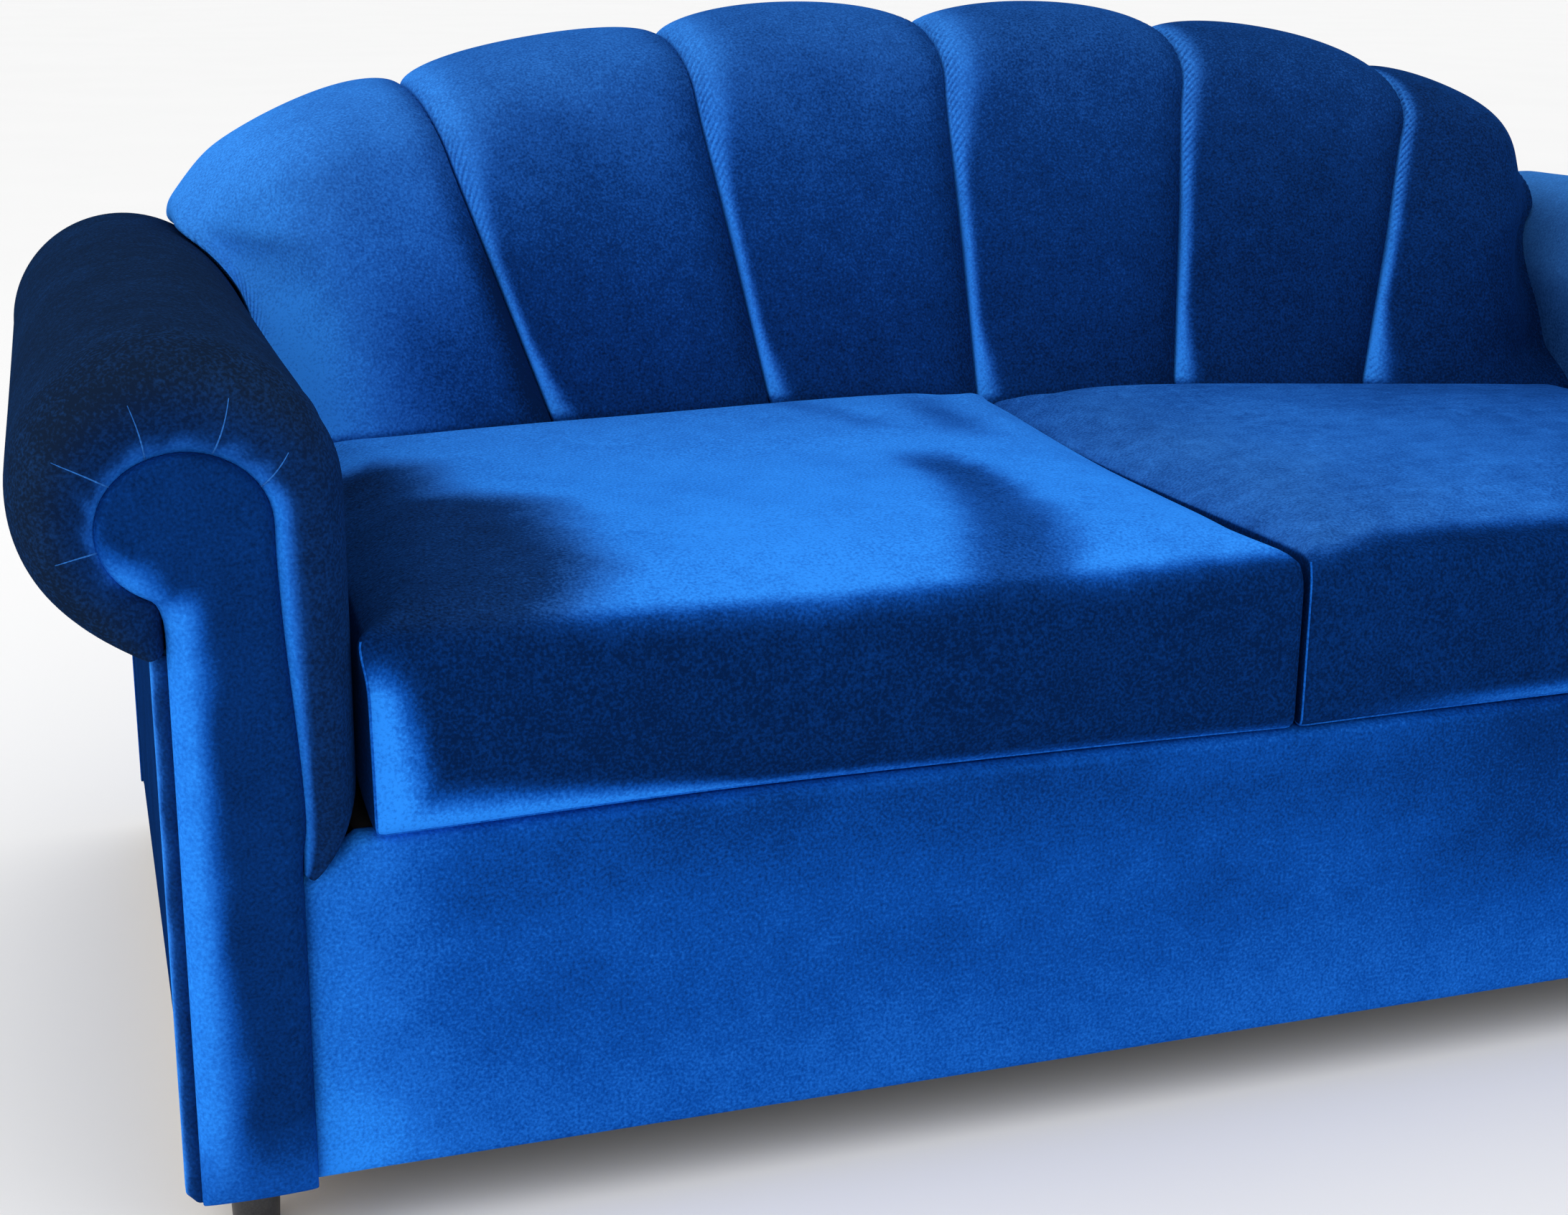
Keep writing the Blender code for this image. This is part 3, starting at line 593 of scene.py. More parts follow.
def paintSeatNapAndLight(piece, sign):
    x, y, z = places(piece.data).T
    facing = normals(piece.data)
    startNap, startHaze, startFront = (seat[key][sign > 0] for key in ("topSheenNap", "topHaze", "frontLitNap"))
    low = np.clip((cushionTop - z) / seat["height"], 0, 1)
    fromArm = seat["half"] - seat["sideGap"] - np.abs(x)
    drift = 0.5 * uneven(x, y, 0.21) + 0.3 * uneven(y, x, 0.07) + 0.2 * uneven(x, y, 0.031)
    if sign < 0:
        edge = mix(-0.530, -0.597, ease(y, 0.25, 0.33)) - 0.05 * fade(y, -0.01, 0.08) + 0.012 * drift
        patch = ease(edge - x, -0.040, 0.055) * fade(y + 0.15 * (x + 0.65) + 0.012 * drift, 0.415, 0.475)
        line = -0.181 - 0.045 * np.clip((0.24 - y) / 0.21, 0, 1.4) ** 2
        width = mix(0.046, 0.030, ease(y, 0.03, 0.30))
        streak = bell(x - line + 0.008 * drift, width, 3) * fade(y + 0.012 * drift, 0.28, 0.37)
        rearStreak = bell(x + 0.195 + 0.5 * (y - 0.475), 0.022) * ease(y, 0.40, 0.46)
        farStreak = bell(x + 0.105, 0.026) * ease(y, 0.36, 0.44) * (1 - 0.6 * ease(y, 0.48, 0.56))
        topSheenNap = startNap + 0.04 * drift - 0.11 * ease(y, 0.10, 0.6)
        topSheenNap = topSheenNap - 0.77 * patch - 0.56 * streak - 0.17 * rearStreak - 0.30 * farStreak
        topHaze = startHaze + 0.10 * ease(y, 0.2, 0.6) + 0.36 * patch + 0.06 * streak
        # painted light down the front corner by the arm, and a painted highlight along the foot of the front
        litBand = fade(fromArm + 0.006 * drift, 0.006 + 0.016 * low, 0.030 + 0.034 * low)
        depth = mix(0.050, 0.011, np.clip(fromArm / 0.28, 0, 1))
        foot = fade(z - seat["under"], 0.15 * depth, depth) * (1 - 0.6 * ease(fromArm, 0.20, 0.60))
        frontLitNap = startFront + 0.93 * np.maximum(litBand * ease(low, 0.0, 0.30), foot)
    else:
        bySplit = bell(x - 0.02 - 0.05 * drift, 0.13) * (1 - 0.6 * ease(y, 0.35, 0.60))
        streaks = 0.6 * uneven(x + y, y - x, 0.042) + 0.4 * uneven(x - 2 * y, x + y, 0.10)
        topSheenNap = startNap + 0.08 * drift + 0.07 * streaks - 0.10 * bySplit - 0.18 * ease(x, 0.15, 0.55)
        topSheenNap = topSheenNap - 0.09 * ease(y, 0.30, 0.60)
        topHaze = startHaze + 0.18 * bySplit
        # painted highlight along the foot of the right cushion's front
        frontLitNap = startFront + 0.70 * fade(z - seat["under"], 0.004, 0.022) * ease(x, 0.0, 0.25)
    # painted sheen: upward faces behind the front edge take the bright top level, the rest the dark front
    # level
    turnOver = seat["sheenFront"] if sign < 0 else seat["sheenFront"] + 0.020 * ease(x, 0.0, 0.10)
    top = ease(facing[:, 2], 0.15, 0.50) * ease(y - turnOver + 0.003 * drift, -0.016, 0.016)
    shadedSides = ease(np.abs(facing[:, 0]), 0.50, 0.85)         # painted shade on the boxing sides by the arm and the split
    frontLitNap = mix(frontLitNap, 0.02, shadedSides)
    brush(piece, mix(frontLitNap, topSheenNap, top), mix(0.02, topHaze, top))


def earOut(piece, sign):
    u, v, w = lattice(piece)
    points = places(piece.data)
    tip = points[np.argmin((u - 1) ** 2 + v ** 2 + (w - 1) ** 2)]
    near = bell(np.linalg.norm(points - tip, axis=1), seat["earReach"])
    setPlaces(piece.data, points + near[:, None] * seat["ear"][sign > 0] * np.array([sign * 0.7, -0.5, 0.5]))


for side, sign in sides.items():
    cushion = sewPiece("seatCushion" + side, seat["cuts"], cushionShape(sign), seatVelvet)
    u, v, w = lattice(cushion)
    sewn = (np.sum([atEnd(share) for share in (u, v, w)], 0) >= 2) | (w < 0.001)
    limit = np.where(w > 0.999, seat["topSwell"], seat["sideSwell"])
    stuff(cushion, sewn, limit, seat["pressure"])
    refine(cushion, 1)
    earOut(cushion, sign)
    paintSeatNapAndLight(cushion, sign)
    handOver(cushion, "seat_cushion_" + side.lower(), side.lower() + "_cushion")
print("seat cushions sewn")


# Back channels

def edgeX(z, y, shoulder):
    reach = arm["roll"] + back["armGap"]
    lift = np.clip(z - leanDown(rollZ, y), 0, reach)
    return np.minimum(shoulder, leanIn(rollX, y) - np.sqrt(reach ** 2 - lift ** 2))


def grooveX(index, z, y=None):
    if abs(index) == 3:
        shoulder = back["shoulder"] if index < 0 else back["shoulderRight"]
        return math.copysign(1, index) * edgeX(z, boardY(z) if y is None else y, shoulder)
    return index * mix(back["foot"], back["head"], (z - cushionTop) / back["rise"])


def grooveHead(index):
    z = grooveTop
    for turn in range(20):
        z = archZ(grooveX(index, z))
    return z


def channelShape(first):
    ends = [grooveX(index, grooveHead(index)) for index in (first, first + 1)]
    crestFrom, crestTo = back["crestFrom"], back["crestTo"]

    def shape(u, v, w):
        s, share = spread(u), pinched(u)
        pillow = np.maximum(1 - np.abs(s) ** back["pillow"], 0) ** (1 / back["pillow"])
        arch = archZ(mix(*ends, share))
        outward = {-3: 1 - share, 2: share}.get(first, 0 * share)
        crestStart = arch + back["scallop"] * pillow - back["crestRound"]
        crestStart = crestStart + back["crestLift"][first + 3] * (1 - s * s)
        crestStart = crestStart - back["endRound"][first > 0] * ease(outward, 0.78, 1.0) ** 1.5

        def across(z, y=None):
            gap = back["seamGap"] / 2
            return mix(grooveX(first, z, y) + gap, grooveX(first + 1, z, y) - gap, share)

        def front(z):
            rise = shareOf(z, cushionTop, cushionTop + back["bulgeReach"])
            swell = mix(back["bulgeLow"], back["bulge"], rise)
            swell = swell - back["bulgeEase"] * ease(z, crestStart - 0.12, crestStart)
            return mix(grooveY(across(z), z) - swell * pillow, endY(z), rolledBack(outward, first + 0.5, z))

        def belowArch(drop):
            z = arch - drop
            for turn in range(20):
                z = archZ(across(z)) - drop
            return z

        over, down = shareOf(v, crestFrom, crestTo), shareOf(v, crestTo, 1)
        inset, lip = belowArch(back["crestInset"]), belowArch(back["rearLip"])
        z = mix(seat["under"], crestStart, shareOf(v, 0, crestFrom))
        y = front(z)
        innerZ, innerY = z, boardY(z) - fit
        crest = v > crestFrom
        turnEndY = np.where(over < 0.5, front(crestStart), rearFace)
        z = np.where(crest, mix(crestStart + back["crestRound"] * np.sin(math.pi * over), lip, down), z)
        y = np.where(crest, mix(crestLine, turnEndY, np.abs(np.cos(math.pi * over))), y)
        innerZ = np.where(crest, mix(inset, lip, down), innerZ)
        innerY = np.where(crest, mix(boardY(inset) - fit, frameRear + fit, over), innerY)
        height, depth = mix(innerZ, z, w), mix(innerY, y, w)
        return across(height, depth), depth, height

    return shape


def gathers(piece, shape):
    u, v, w = lattice(piece)
    steps = np.linspace(0, 1, 200)
    line = np.stack(shape(np.full_like(steps, 0.04), steps, np.ones_like(steps)), 1)
    run = np.concatenate([[0], np.cumsum(np.linalg.norm(np.diff(line, axis=0), axis=1))])
    along = np.interp(v, steps, run)
    crestRun = np.interp(back["crestFrom"], steps, run)
    fromSeam = (1 - np.abs(spread(u))) * back["gatherSpan"]
    head = ease(along, crestRun - 0.16, crestRun - 0.02) * fade(along, crestRun + 0.10, crestRun + 0.15)
    foot = 0.4 * fade(along, 0.15, 0.20)
    reach = bell(fromSeam, back["gatherReach"]) * ease(fromSeam, 0.0, 0.002)
    wave = np.sin(2 * math.pi * (along - 0.8 * fromSeam) / back["gatherPitch"] + 1.5 * np.sin(along * 55))
    return (head + foot) * reach * wave * (w > 0.999)


lightBandSpread = (0.020, 0.022, 0.021, 0.020, 0.006, 0.003)     # how far the painted light band widens at the crest
channelLitNap = [                  # painted light and sheen at the crest, halfway and by the seat, darker from the left channel to the right
    (0.80, 0.75, 0.40), (0.58, 0.24, 0.13), (0.48, 0.23, 0.12), (0.38, 0.18, 0.11), (0.25, 0.13, 0.09),
    (0.15, 0.09, 0.08),
]


def paintChannelNapAndLight(piece, number, shape, folds):
    x, y, z = places(piece.data).T
    facing = normals(piece.data)
    u, v, w = lattice(piece)
    crestMiddle = (back["crestFrom"] + back["crestTo"]) / 2
    crestZ = shape(u, np.full_like(u, crestMiddle), np.ones_like(u))[2]
    crest, middle, foot = channelLitNap[number]
    below = np.clip(crestZ - z, 0, 1) + 0.012 * uneven(x, z, 0.16)
    # painted sheen, brightest at the crest
    crestSheen = bell(np.clip(below, 0, 1), 0.105)
    nap = mix(foot, middle, ease(z, cushionTop - 0.02, cushionTop + 0.22))
    nap = mix(nap, crest, crestSheen)
    share = pinched(u)
    width = back["width"]
    low = fade(z, cushionTop, cushionTop + 0.09)
    high = ease(z, crestZ - 0.20, crestZ - 0.04)
    litBand = 0.007 + 0.012 * low + lightBandSpread[number] * high ** 2
    if number == 0:
        litBand = litBand + 0.055 + 0.050 * fade(z, cushionTop, cushionTop + 0.17)
    # painted light along each channel's left edge, weaker in the fold hollows; painted shade along its right
    # edge by the groove
    light = bell(share * width, litBand, 2.6) * (1 + 0.7 * np.minimum(folds, 0))
    paintedShade = bell((1 - share) * width, 0.022) * (1 - 0.5 * high)
    nap = mix(mix(nap, 0.03, 0.8 * paintedShade), 0.98 - 0.12 * high, light)
    if number == 0:             # painted light: lighter by the arm than by the groove; rubbed is a darker mark
        rubbed = bell(share - 0.62, 0.25) * bell(below - 0.08, 0.05)
        nap = nap + 0.06 - 0.28 * ease(share, 0.20, 0.70) * (1 - 0.6 * high) - 0.13 * rubbed
    nap = mix(nap, 0.35, ease(facing[:, 1], 0.2, 0.6))
    # painted contact shadow where the channel meets the seat
    fromMiddle = np.clip(2 * np.abs(x) / seat["half"] - 1, -1, 1)
    seatLine = seat["under"] + seat["height"] + rearLift(number - 2.5, fromMiddle)
    nap = mix(nap, 0.02, 0.8 * fade(z - seatLine, -0.010, 0.002))
    brush(piece, nap, 0.20 + 0.20 * crestSheen)


for number in range(6):
    shape = channelShape(number - 3)
    channel = sewPiece("backChannel%d" % (number + 1), back["cuts"], shape, seatVelvet)
    u, v, w = lattice(channel)
    sewn = (w < 0.999) | atEnd(u) | atEnd(v)
    stuff(channel, sewn, back["swell"], back["pressure"])
    refine(channel, 2)
    folds = gathers(channel, shape)
    lifted = normals(channel.data) * back["gatherHeight"] * folds[:, None]
    setPlaces(channel.data, places(channel.data) + lifted)
    paintChannelNapAndLight(channel, number, shape, folds)
    handOver(channel, "back_channel_%d" % (number + 1))
print("back channels sewn")


# Rolled arms

def seamLean(z):
    return arm["seamLean"] * ease(z, 0.31, 0.52)


def armLines(u, y):
    front = fade(y, -0.002, 0.012)
    narrow = arm["seamLean"] / 2 * front
    rollShare, faceShare = arm["rollShare"], arm["faceShare"]
    fall, tucked = shareOf(u, rollShare, faceShare), shareOf(u, faceShare, 1)
    angle = mix(arm["rollEnd"], math.pi, shareOf(u, 0, rollShare))
    outerX = leanIn(rollX, y) + arm["roll"] * np.cos(angle)
    outerZ = leanDown(rollZ, y) + arm["roll"] * np.sin(angle)
    outerZ = np.where(u > rollShare, mix(leanDown(rollZ, y), tuckZ, fall), outerZ)
    tuckAngle = math.pi + arm["tuckTurn"] * tucked
    outerX = np.where(u > faceShare, leanIn(tuckX, y) + arm["tuck"] * np.cos(tuckAngle), outerX)
    outerZ = np.where(u > faceShare, tuckZ + arm["tuck"] * np.sin(tuckAngle), outerZ)
    neckShare = arm["neckShare"]
    angle = mix(neckAngle, math.pi, shareOf(u, neckShare, rollShare))
    innerX = leanIn(scrollX, y) + narrow + (scrollHalf - narrow) * np.cos(angle)
    innerZ = leanDown(scrollZ, y) + scrollRise * np.sin(angle)
    rollFoot = leanDown(rollZ, y) + arm["roll"] * math.sin(arm["rollEnd"])
    innerZ = np.where(u < neckShare, mix(rollFoot + arm["neckGap"], innerZ, shareOf(u, 0, neckShare)), innerZ)
    innerZ = np.where(u > rollShare, mix(leanDown(scrollZ, y), tuckZ, fall), innerZ)
    innerZ = np.where(u > faceShare, outerZ, innerZ)
    innerX = np.where(u > rollShare, leanIn(panelInner, y) + front * seamLean(innerZ), innerX)
    return outerX, outerZ, innerX, innerZ


def armShape(sign):
    def shape(u, v, w):
        level = np.sin(math.pi / 2 * w)
        turn = shareOf(level, arm["noseLevel"], 1)
        dip = np.clip(1 - level / arm["noseLevel"], 0, 1)
        nose = arm["noseDepth"] * (1 - np.sqrt(1 - turn * turn)) + arm["seamDepth"] * dip ** 2 - arm["nose"]
        y = mix(nose, frameRear, v ** 1.3)
        outerX, outerZ, innerX, innerZ = armLines(u, y)
        return sign * mix(innerX, outerX, level), y, mix(innerZ, outerZ, level)

    return shape


def paintArmNapAndLight(piece, sign):
    x, y, z = places(piece.data).T
    facing = normals(piece.data)
    u, v, w = lattice(piece)
    level = np.sin(math.pi / 2 * w)
    pad = mix(arm["topPad"], arm["pad"], ease(u, arm["rollShare"] - 0.15, arm["rollShare"]))
    inner = ease(u, arm["rollShare"] - 0.12, arm["rollShare"])
    fromSeam = level * pad
    # painted sheen along the seam round the scroll
    reach = mix(0.022 + 0.006 * uneven(x, z, 0.03), 0.016 * mix(0.6, 1.0, ease(z, 0.30, 0.48)), inner)
    atSeam = np.maximum(inner, fade(fromSeam, 0.001, 0.006))
    seamSheen = fade(fromSeam, 0.004 * inner, reach) * mix(0.75, 1.0, atSeam)
    seamSheen = (v < 0.001) * seamSheen * ease(u - arm["neckShare"], 0.01, 0.08)
    byScroll = (v < 0.02) * fade(fromSeam, 0.02, 0.06)
    if sign < 0:
        nap = mix(0.03, 0.07, np.maximum(inner, byScroll))
        haze = mix(0.95, 0.35, np.maximum(inner, byScroll)) * (1 - seamSheen)
    else:
        # painted light: the right arm's inner face lighter higher up and on upward faces
        nap = mix(0.38, mix(0.36, 0.90, ease(z, 0.47, 0.62)), inner) + 0.35 * ease(facing[:, 2], 0.4, 0.9)
        haze = 0.65
    brush(piece, mix(nap, 0.92, seamSheen), haze)


for side, sign in sides.items():
    pad = sewPiece("armPad" + side, arm["cuts"], armShape(sign), armVelvet)
    u, v, w = lattice(pad)
    sewn = (w < 0.001) | atEnd(u) | (v > 0.999)
    stuff(pad, sewn, arm["swell"], arm["pressure"])
    refine(pad, 1)
    paintArmNapAndLight(pad, sign)
    handOver(pad, "arm_pad_" + side.lower())
print("arm pads sewn")


# Flat covers: scroll panels, outside arms, front rail and outer back

cover = {
    "frontRound": 0.016, "frontCrown": 0.002, "rearRound": 0.004, "thin": 0.010,
    "panelCuts": (24, 56, 3), "railCuts": (110, 30, 3), "backCuts": (72, 40, 3), "outsideCuts": (6, 60, 40),
    "outsideThick": 0.0032, "outsideRoll": 0.0085, "rollLength": 0.022, "outsideGap": 0.0015,
    "railPad": 0.018, "railRound": 0.010, "tuckUnder": 0.0045, "lap": 0.0022, "rearLap": 0.0052,
    "lipLap": 0.0030, "rearSink": 0.003,           # the rear panels close on the pad behind their rim
    "neckShare": 0.62, "headEnd": math.pi / 2 - 0.03, "scrollPinch": 0.7, "rolledShare": 0.4,
    "outsideRound": 0.006, "backRound": 0.008,
    "panelNap": 0.15, "railNap": 0.46, "backNap": 0.34, "backHaze": 0.15,
    "outsideNap": 0.10, "outsideHaze": 0.25,
}


def roundOver(distance, radius):
    return np.sqrt(np.clip(1 - (1 - np.clip(distance / radius, 0, 1)) ** 2, 0, 1))


def scrollShape(sign, depth, face, thick, radius, crown, lean):
    # depth sets where along the arm the panel stands, face which way it looks
    headZ = float(leanDown(scrollZ, depth))
    lap, sink = (cover["lap"], 0.0) if lean else (cover["rearLap"], cover["rearSink"])
    headLap = cover["tuckUnder"] if lean else lap
    headHalf = scrollRise - fit + lap
    neckZ = headZ + headHalf * math.sin(neckAngle)
    narrow = lean * arm["seamLean"] / 2
    neck, pinch = cover["neckShare"], cover["scrollPinch"]

    def shape(u, v, w):
        s = spread(u, pinch)
        angle = mix(neckAngle, cover["headEnd"], shareOf(v, neck, 1))
        straight = mix(hem, neckZ, spread(shareOf(v, 0, neck) * 0.5, pinch) + 1)
        z = np.where(v < neck, straight, headZ + headHalf * np.sin(angle))
        lift = np.clip((z - headZ) / headHalf, -1, 1)
        half = (scrollHalf - narrow - fit + headLap) * np.sqrt(1 - lift * lift)
        outer = np.where(v < neck, panelOuter - fit + lap, scrollX + narrow + half)
        under = lean * cover["tuckUnder"] * ease(z, 0.30, 0.32)
        inner = np.where(z < headZ, panelInner + fit + lean * seamLean(z) - under, scrollX + narrow - half)
        x = mix(inner, outer, (s + 1) / 2)
        side = (1 - np.abs(s)) * (outer - inner) / 2
        edge = np.minimum(side, z - hem)
        rise = mix(0.35, 1.0, roundOver(edge, radius)) * (thick - crown) + crown * (1 - s * s)
        return sign * leanIn(x, depth), depth + face * mix(-sink, rise, w), z

    return shape


def paintPanelNapAndLight(piece, sign, front):
    x, y, z = places(piece.data).T
    facing = normals(piece.data)
    if front and sign < 0:
        # painted light: a bright strip along the outer edge and round the lower left of the scroll head, and
        # a painted highlight along the hem
        fromOuter = panelOuter + x
        wide = mix(0.043, 0.032, ease(z, 0.10, 0.30)) + 0.004 * uneven(x, z, 0.09)
        straight = fade(fromOuter, 0.008, wide) * fade(z, 0.475, 0.50)
        dx, dz = (x + scrollX) / scrollHalf, (z - scrollZ) / scrollRise
        reach = np.hypot(dx, dz)
        turn = np.arctan2(dz, -dx)
        lower = bell(turn + 0.75, 0.60)
        head = ease(reach, 0.96 - 0.50 * lower, 1.02) * (0.10 + 0.90 * lower) * ease(-dx, -0.1, 0.3)
        nap = cover["panelNap"] + 0.73 * np.maximum(straight, head)
        nap = mix(nap, 0.52, 0.85 * fade(z - hem + 0.006 * uneven(x, z, 0.05), 0.004, 0.070))
    else:
        # painted light: faces turned to the left are lighter
        nap = mix(0.22, 0.45, ease(-facing[:, 0], 0.3, 0.8))
    brush(piece, nap, 0.05)


def outsideShape(sign):
    def shape(u, v, w):
        rolled = cover["rolledShare"]
        turn = math.pi * shareOf(v, 0, rolled)
        y = cover["rollLength"] / 2 * (1 - np.cos(turn))
        y = np.where(v > rolled, mix(cover["rollLength"], frameRear, shareOf(v, rolled, 1)), y)
        top = leanDown(rollZ + arm["roll"] * math.sin(arm["rollEnd"]), y) - cover["outsideGap"]
        z = mix(hem, top, pinched(w, 0.6))
        edge = roundOver(np.minimum(z - hem, top - z), cover["outsideRound"])
        thick = (cover["outsideThick"] + cover["outsideRoll"] * np.sin(turn)) * mix(0.6, 1.0, edge)
        return sign * leanIn(panelOuter + fit + u * thick, y), y, z

    return shape


def railTop(x):
    cut = arm["tuck"] + 2 * fit
    apart = np.clip(np.abs(np.abs(x) - tuckX), 0, cut)
    underTuck = np.minimum(seatTop, tuckZ - np.sqrt(cut ** 2 - apart ** 2))
    return np.where(np.abs(x) > tuckX - cut, underTuck, seatTop)


def railShape(u, v, w):
    x = (panelInner - fit) * spread(u, 0.35)
    top = railTop(x)
    z = mix(hem, top, pinched(v, 0.5))
    edge = np.minimum(z - hem, top - z)
    thick = cover["railPad"] * mix(0.45, 1.0, roundOver(edge, cover["railRound"]))
    return x, cover["railPad"] - w * thick, z


def backCoverShape(u, v, w):
    half = leanIn(panelInner - fit, np.array(frameRear))
    x = half * spread(u, 0.3)
    top = archZ(x) - back["rearLip"] + cover["lipLap"]
    z = mix(hem, top, pinched(v, 0.4))
    edge = np.minimum(np.minimum(z - hem, top - z), half - np.abs(x))
    thick = cover["thin"] * mix(0.4, 1.0, roundOver(edge, cover["backRound"]))
    return x, frameRear + fit + w * thick, z


def paintRailNapAndLight(piece):
    x, y, z = places(piece.data).T
    fromLeft = x + panelInner
    drift = 0.6 * uneven(x, z, 0.23) + 0.4 * uneven(z, x, 0.09)
    # painted light, with random drift: lighter at the left end and low down, darker high up and towards the
    # right, and a painted highlight along the top edge
    nap = cover["railNap"] + 0.05 * drift + 0.30 * fade(fromLeft + 0.03 * drift, 0.0, 0.13)
    nap = nap + 0.14 * fade(z + 0.02 * drift, hem, hem + 0.13) - 0.16 * ease(z + 0.02 * drift, 0.20, 0.30)
    nap = nap + 0.20 * fade(fromLeft, 0.0, 0.30) * ease(z, 0.24, 0.30) + 0.12 * ease(z, 0.296, 0.304)
    nap = nap - 0.16 * ease(x, 0.0, 0.30) * ease(z, hem + 0.06, hem + 0.16)
    nap = nap + 0.10 * fade(fromLeft, 0.0, 0.25) * fade(z, hem, hem + 0.12)
    bySplit = bell(x - 0.02 + 0.05 * drift, 0.17)
    nap = nap + 0.14 * bySplit * ease(z + 0.01 * drift, 0.255, 0.295)
    brush(piece, nap, 0.0)


for side, sign in sides.items():
    shape = scrollShape(sign, -fit, -1, arm["facing"], cover["frontRound"], cover["frontCrown"], 1)
    panel = sewPiece("armFrontPanel" + side, cover["panelCuts"], shape, armVelvet)
    refine(panel, 1)
    paintPanelNapAndLight(panel, sign, True)
    handOver(panel, "arm_front_panel_" + side.lower())
    shape = scrollShape(sign, frameRear + fit, 1, cover["thin"], cover["rearRound"], 0.0, 0)
    panel = sewPiece("armRearPanel" + side, cover["panelCuts"], shape, armVelvet)
    paintPanelNapAndLight(panel, sign, False)
    handOver(panel, "arm_rear_panel_" + side.lower())
    outside = sewPiece("outsideArm" + side, cover["outsideCuts"], outsideShape(sign), armVelvet)
    x, y, z = places(outside.data).T
    # painted highlight down the middle of the rolled front edge
    outsideNap = cover["outsideNap"] + 0.80 * bell(y - 0.0095 + 0.0012 * uneven(z, y, 0.06), 0.0058)
    brush(outside, outsideNap + 0.03 * uneven(y, z, 0.13), cover["outsideHaze"])
    handOver(outside, "outside_arm_" + side.lower())
rail = sewPiece("frontRailCover", cover["railCuts"], railShape, seatVelvet)
paintRailNapAndLight(rail)
handOver(rail, "front_rail_panel")
backCover = sewPiece("outerBackCover", cover["backCuts"], backCoverShape, seatVelvet)
x, y, z = places(backCover.data).T
brush(backCover, cover["backNap"] + 0.015 * uneven(x, z, 0.31), cover["backHaze"])
handOver(backCover, "outer_back_panel")
print("flat covers sewn")


# Seams, pleats and stitches: Geometry Nodes trees that follow paths

def growTree(name, finish, inputs, build):
    tree, nodes, entry, leave = nodeGroup(
        name, "Geometry", {"Geometry": None, **inputs}, {"Geometry": "Geometry"},
    )
    curve = nodes.first("GeometryNodeMeshToCurve", {"Mesh": entry["Geometry"]})
    made = nodes.first("GeometryNodeRealizeInstances", {"Geometry": build(nodes, curve, entry)})
    smooth = nodes.first("GeometryNodeSetShadeSmooth", {"Geometry": made})
    dressed = nodes.first("GeometryNodeSetMaterial", {"Geometry": smooth, "Material": finish})
    nodes.put(leave, {"Geometry": dressed})
    return tree


def spaced(nodes, curve, step):
    return nodes.first("GeometryNodeResampleCurve", {"Curve": curve, "Length": step}, mode="LENGTH")


def tube(nodes, curve, radius, sides, values):
    ring = nodes.first("GeometryNodeCurvePrimitiveCircle", {"Resolution": sides, "Radius": radius})
    values = {"Curve": curve, "Profile Curve": ring, "Fill Caps": True, **values}
    return nodes.first("GeometryNodeCurveToMesh", values)


def cordBuild(nodes, curve, entry):
    along = nodes.first("GeometryNodeSplineParameter")
    size = nodes.maths("SUBTRACT", 1.0, nodes.maths("MULTIPLY", along, entry["Taper"]))
    return tube(nodes, spaced(nodes, curve, entry["Step"]), entry["Radius"], 8, {"Scale": size})


def stitchBuild(nodes, curve, entry):
    half = nodes.maths("MULTIPLY", entry["Length"], 0.5)
    minus = nodes.maths("MULTIPLY", half, -1.0)
    start, end = (nodes.first("ShaderNodeCombineXYZ", {"X": reach}) for reach in (minus, half))
    peak = nodes.first("ShaderNodeCombineXYZ", {"Z": entry["Height"]})
    arch = nodes.first("GeometryNodeCurveQuadraticBezier", {
        "Resolution": 6, "Start": start, "Middle": peak, "End": end,
    })
    tangent = nodes.first("GeometryNodeInputTangent")
    turned = nodes.first("FunctionNodeAlignRotationToVector", {"Vector": tangent}, axis="X", pivot_axis="Z")
    return nodes.first("GeometryNodeInstanceOnPoints", {
        "Points": spaced(nodes, curve, entry["Pitch"]), "Rotation": turned,
        "Instance": tube(nodes, arch, entry["Radius"], 6, {}),
    })


def followPaths(name, tree, paths, values):
    points = np.concatenate(paths)
    starts = np.cumsum([0] + [len(path) for path in paths])
    edges = [(k, k + 1) for first, last in zip(starts[:-1], starts[1:]) for k in range(first, last - 1)]
    mesh = bpy.data.meshes.new(name)
    mesh.from_pydata((points + (0, frontY, 0)).tolist(), edges, [])
    piece = show(name, mesh)
    grower = piece.modifiers.new("grow", "NODES")
    grower.node_group = tree
    for socket in tree.interface.items_tree:
        if socket.in_out == "INPUT" and socket.name in values:
            grower[socket.identifier] = values[socket.name]
    made = applied(piece)
    piece.modifiers.remove(grower)
    piece.data = made
    made.name = name
    bpy.data.meshes.remove(mesh)
    return piece


def edgePath(piece, fixed, sortBy):
    values = lattice(piece)
    chosen = np.all([np.abs(values[axis] - at) < 1e-4 for axis, at in fixed.items()], axis=0)
    found = np.flatnonzero(chosen)
    return places(piece.data)[found[np.argsort(values[sortBy][found])]]


def surfaceOf(piece):
    return BVHTree.FromObject(piece, bpy.context.evaluated_depsgraph_get())


def laidOn(surface, starts, direction):
    hits = [surface.ray_cast(Vector(start), Vector(direction))[0] for start in starts]
    return np.array([hit for hit in hits if hit]) - (0, frontY, 0)


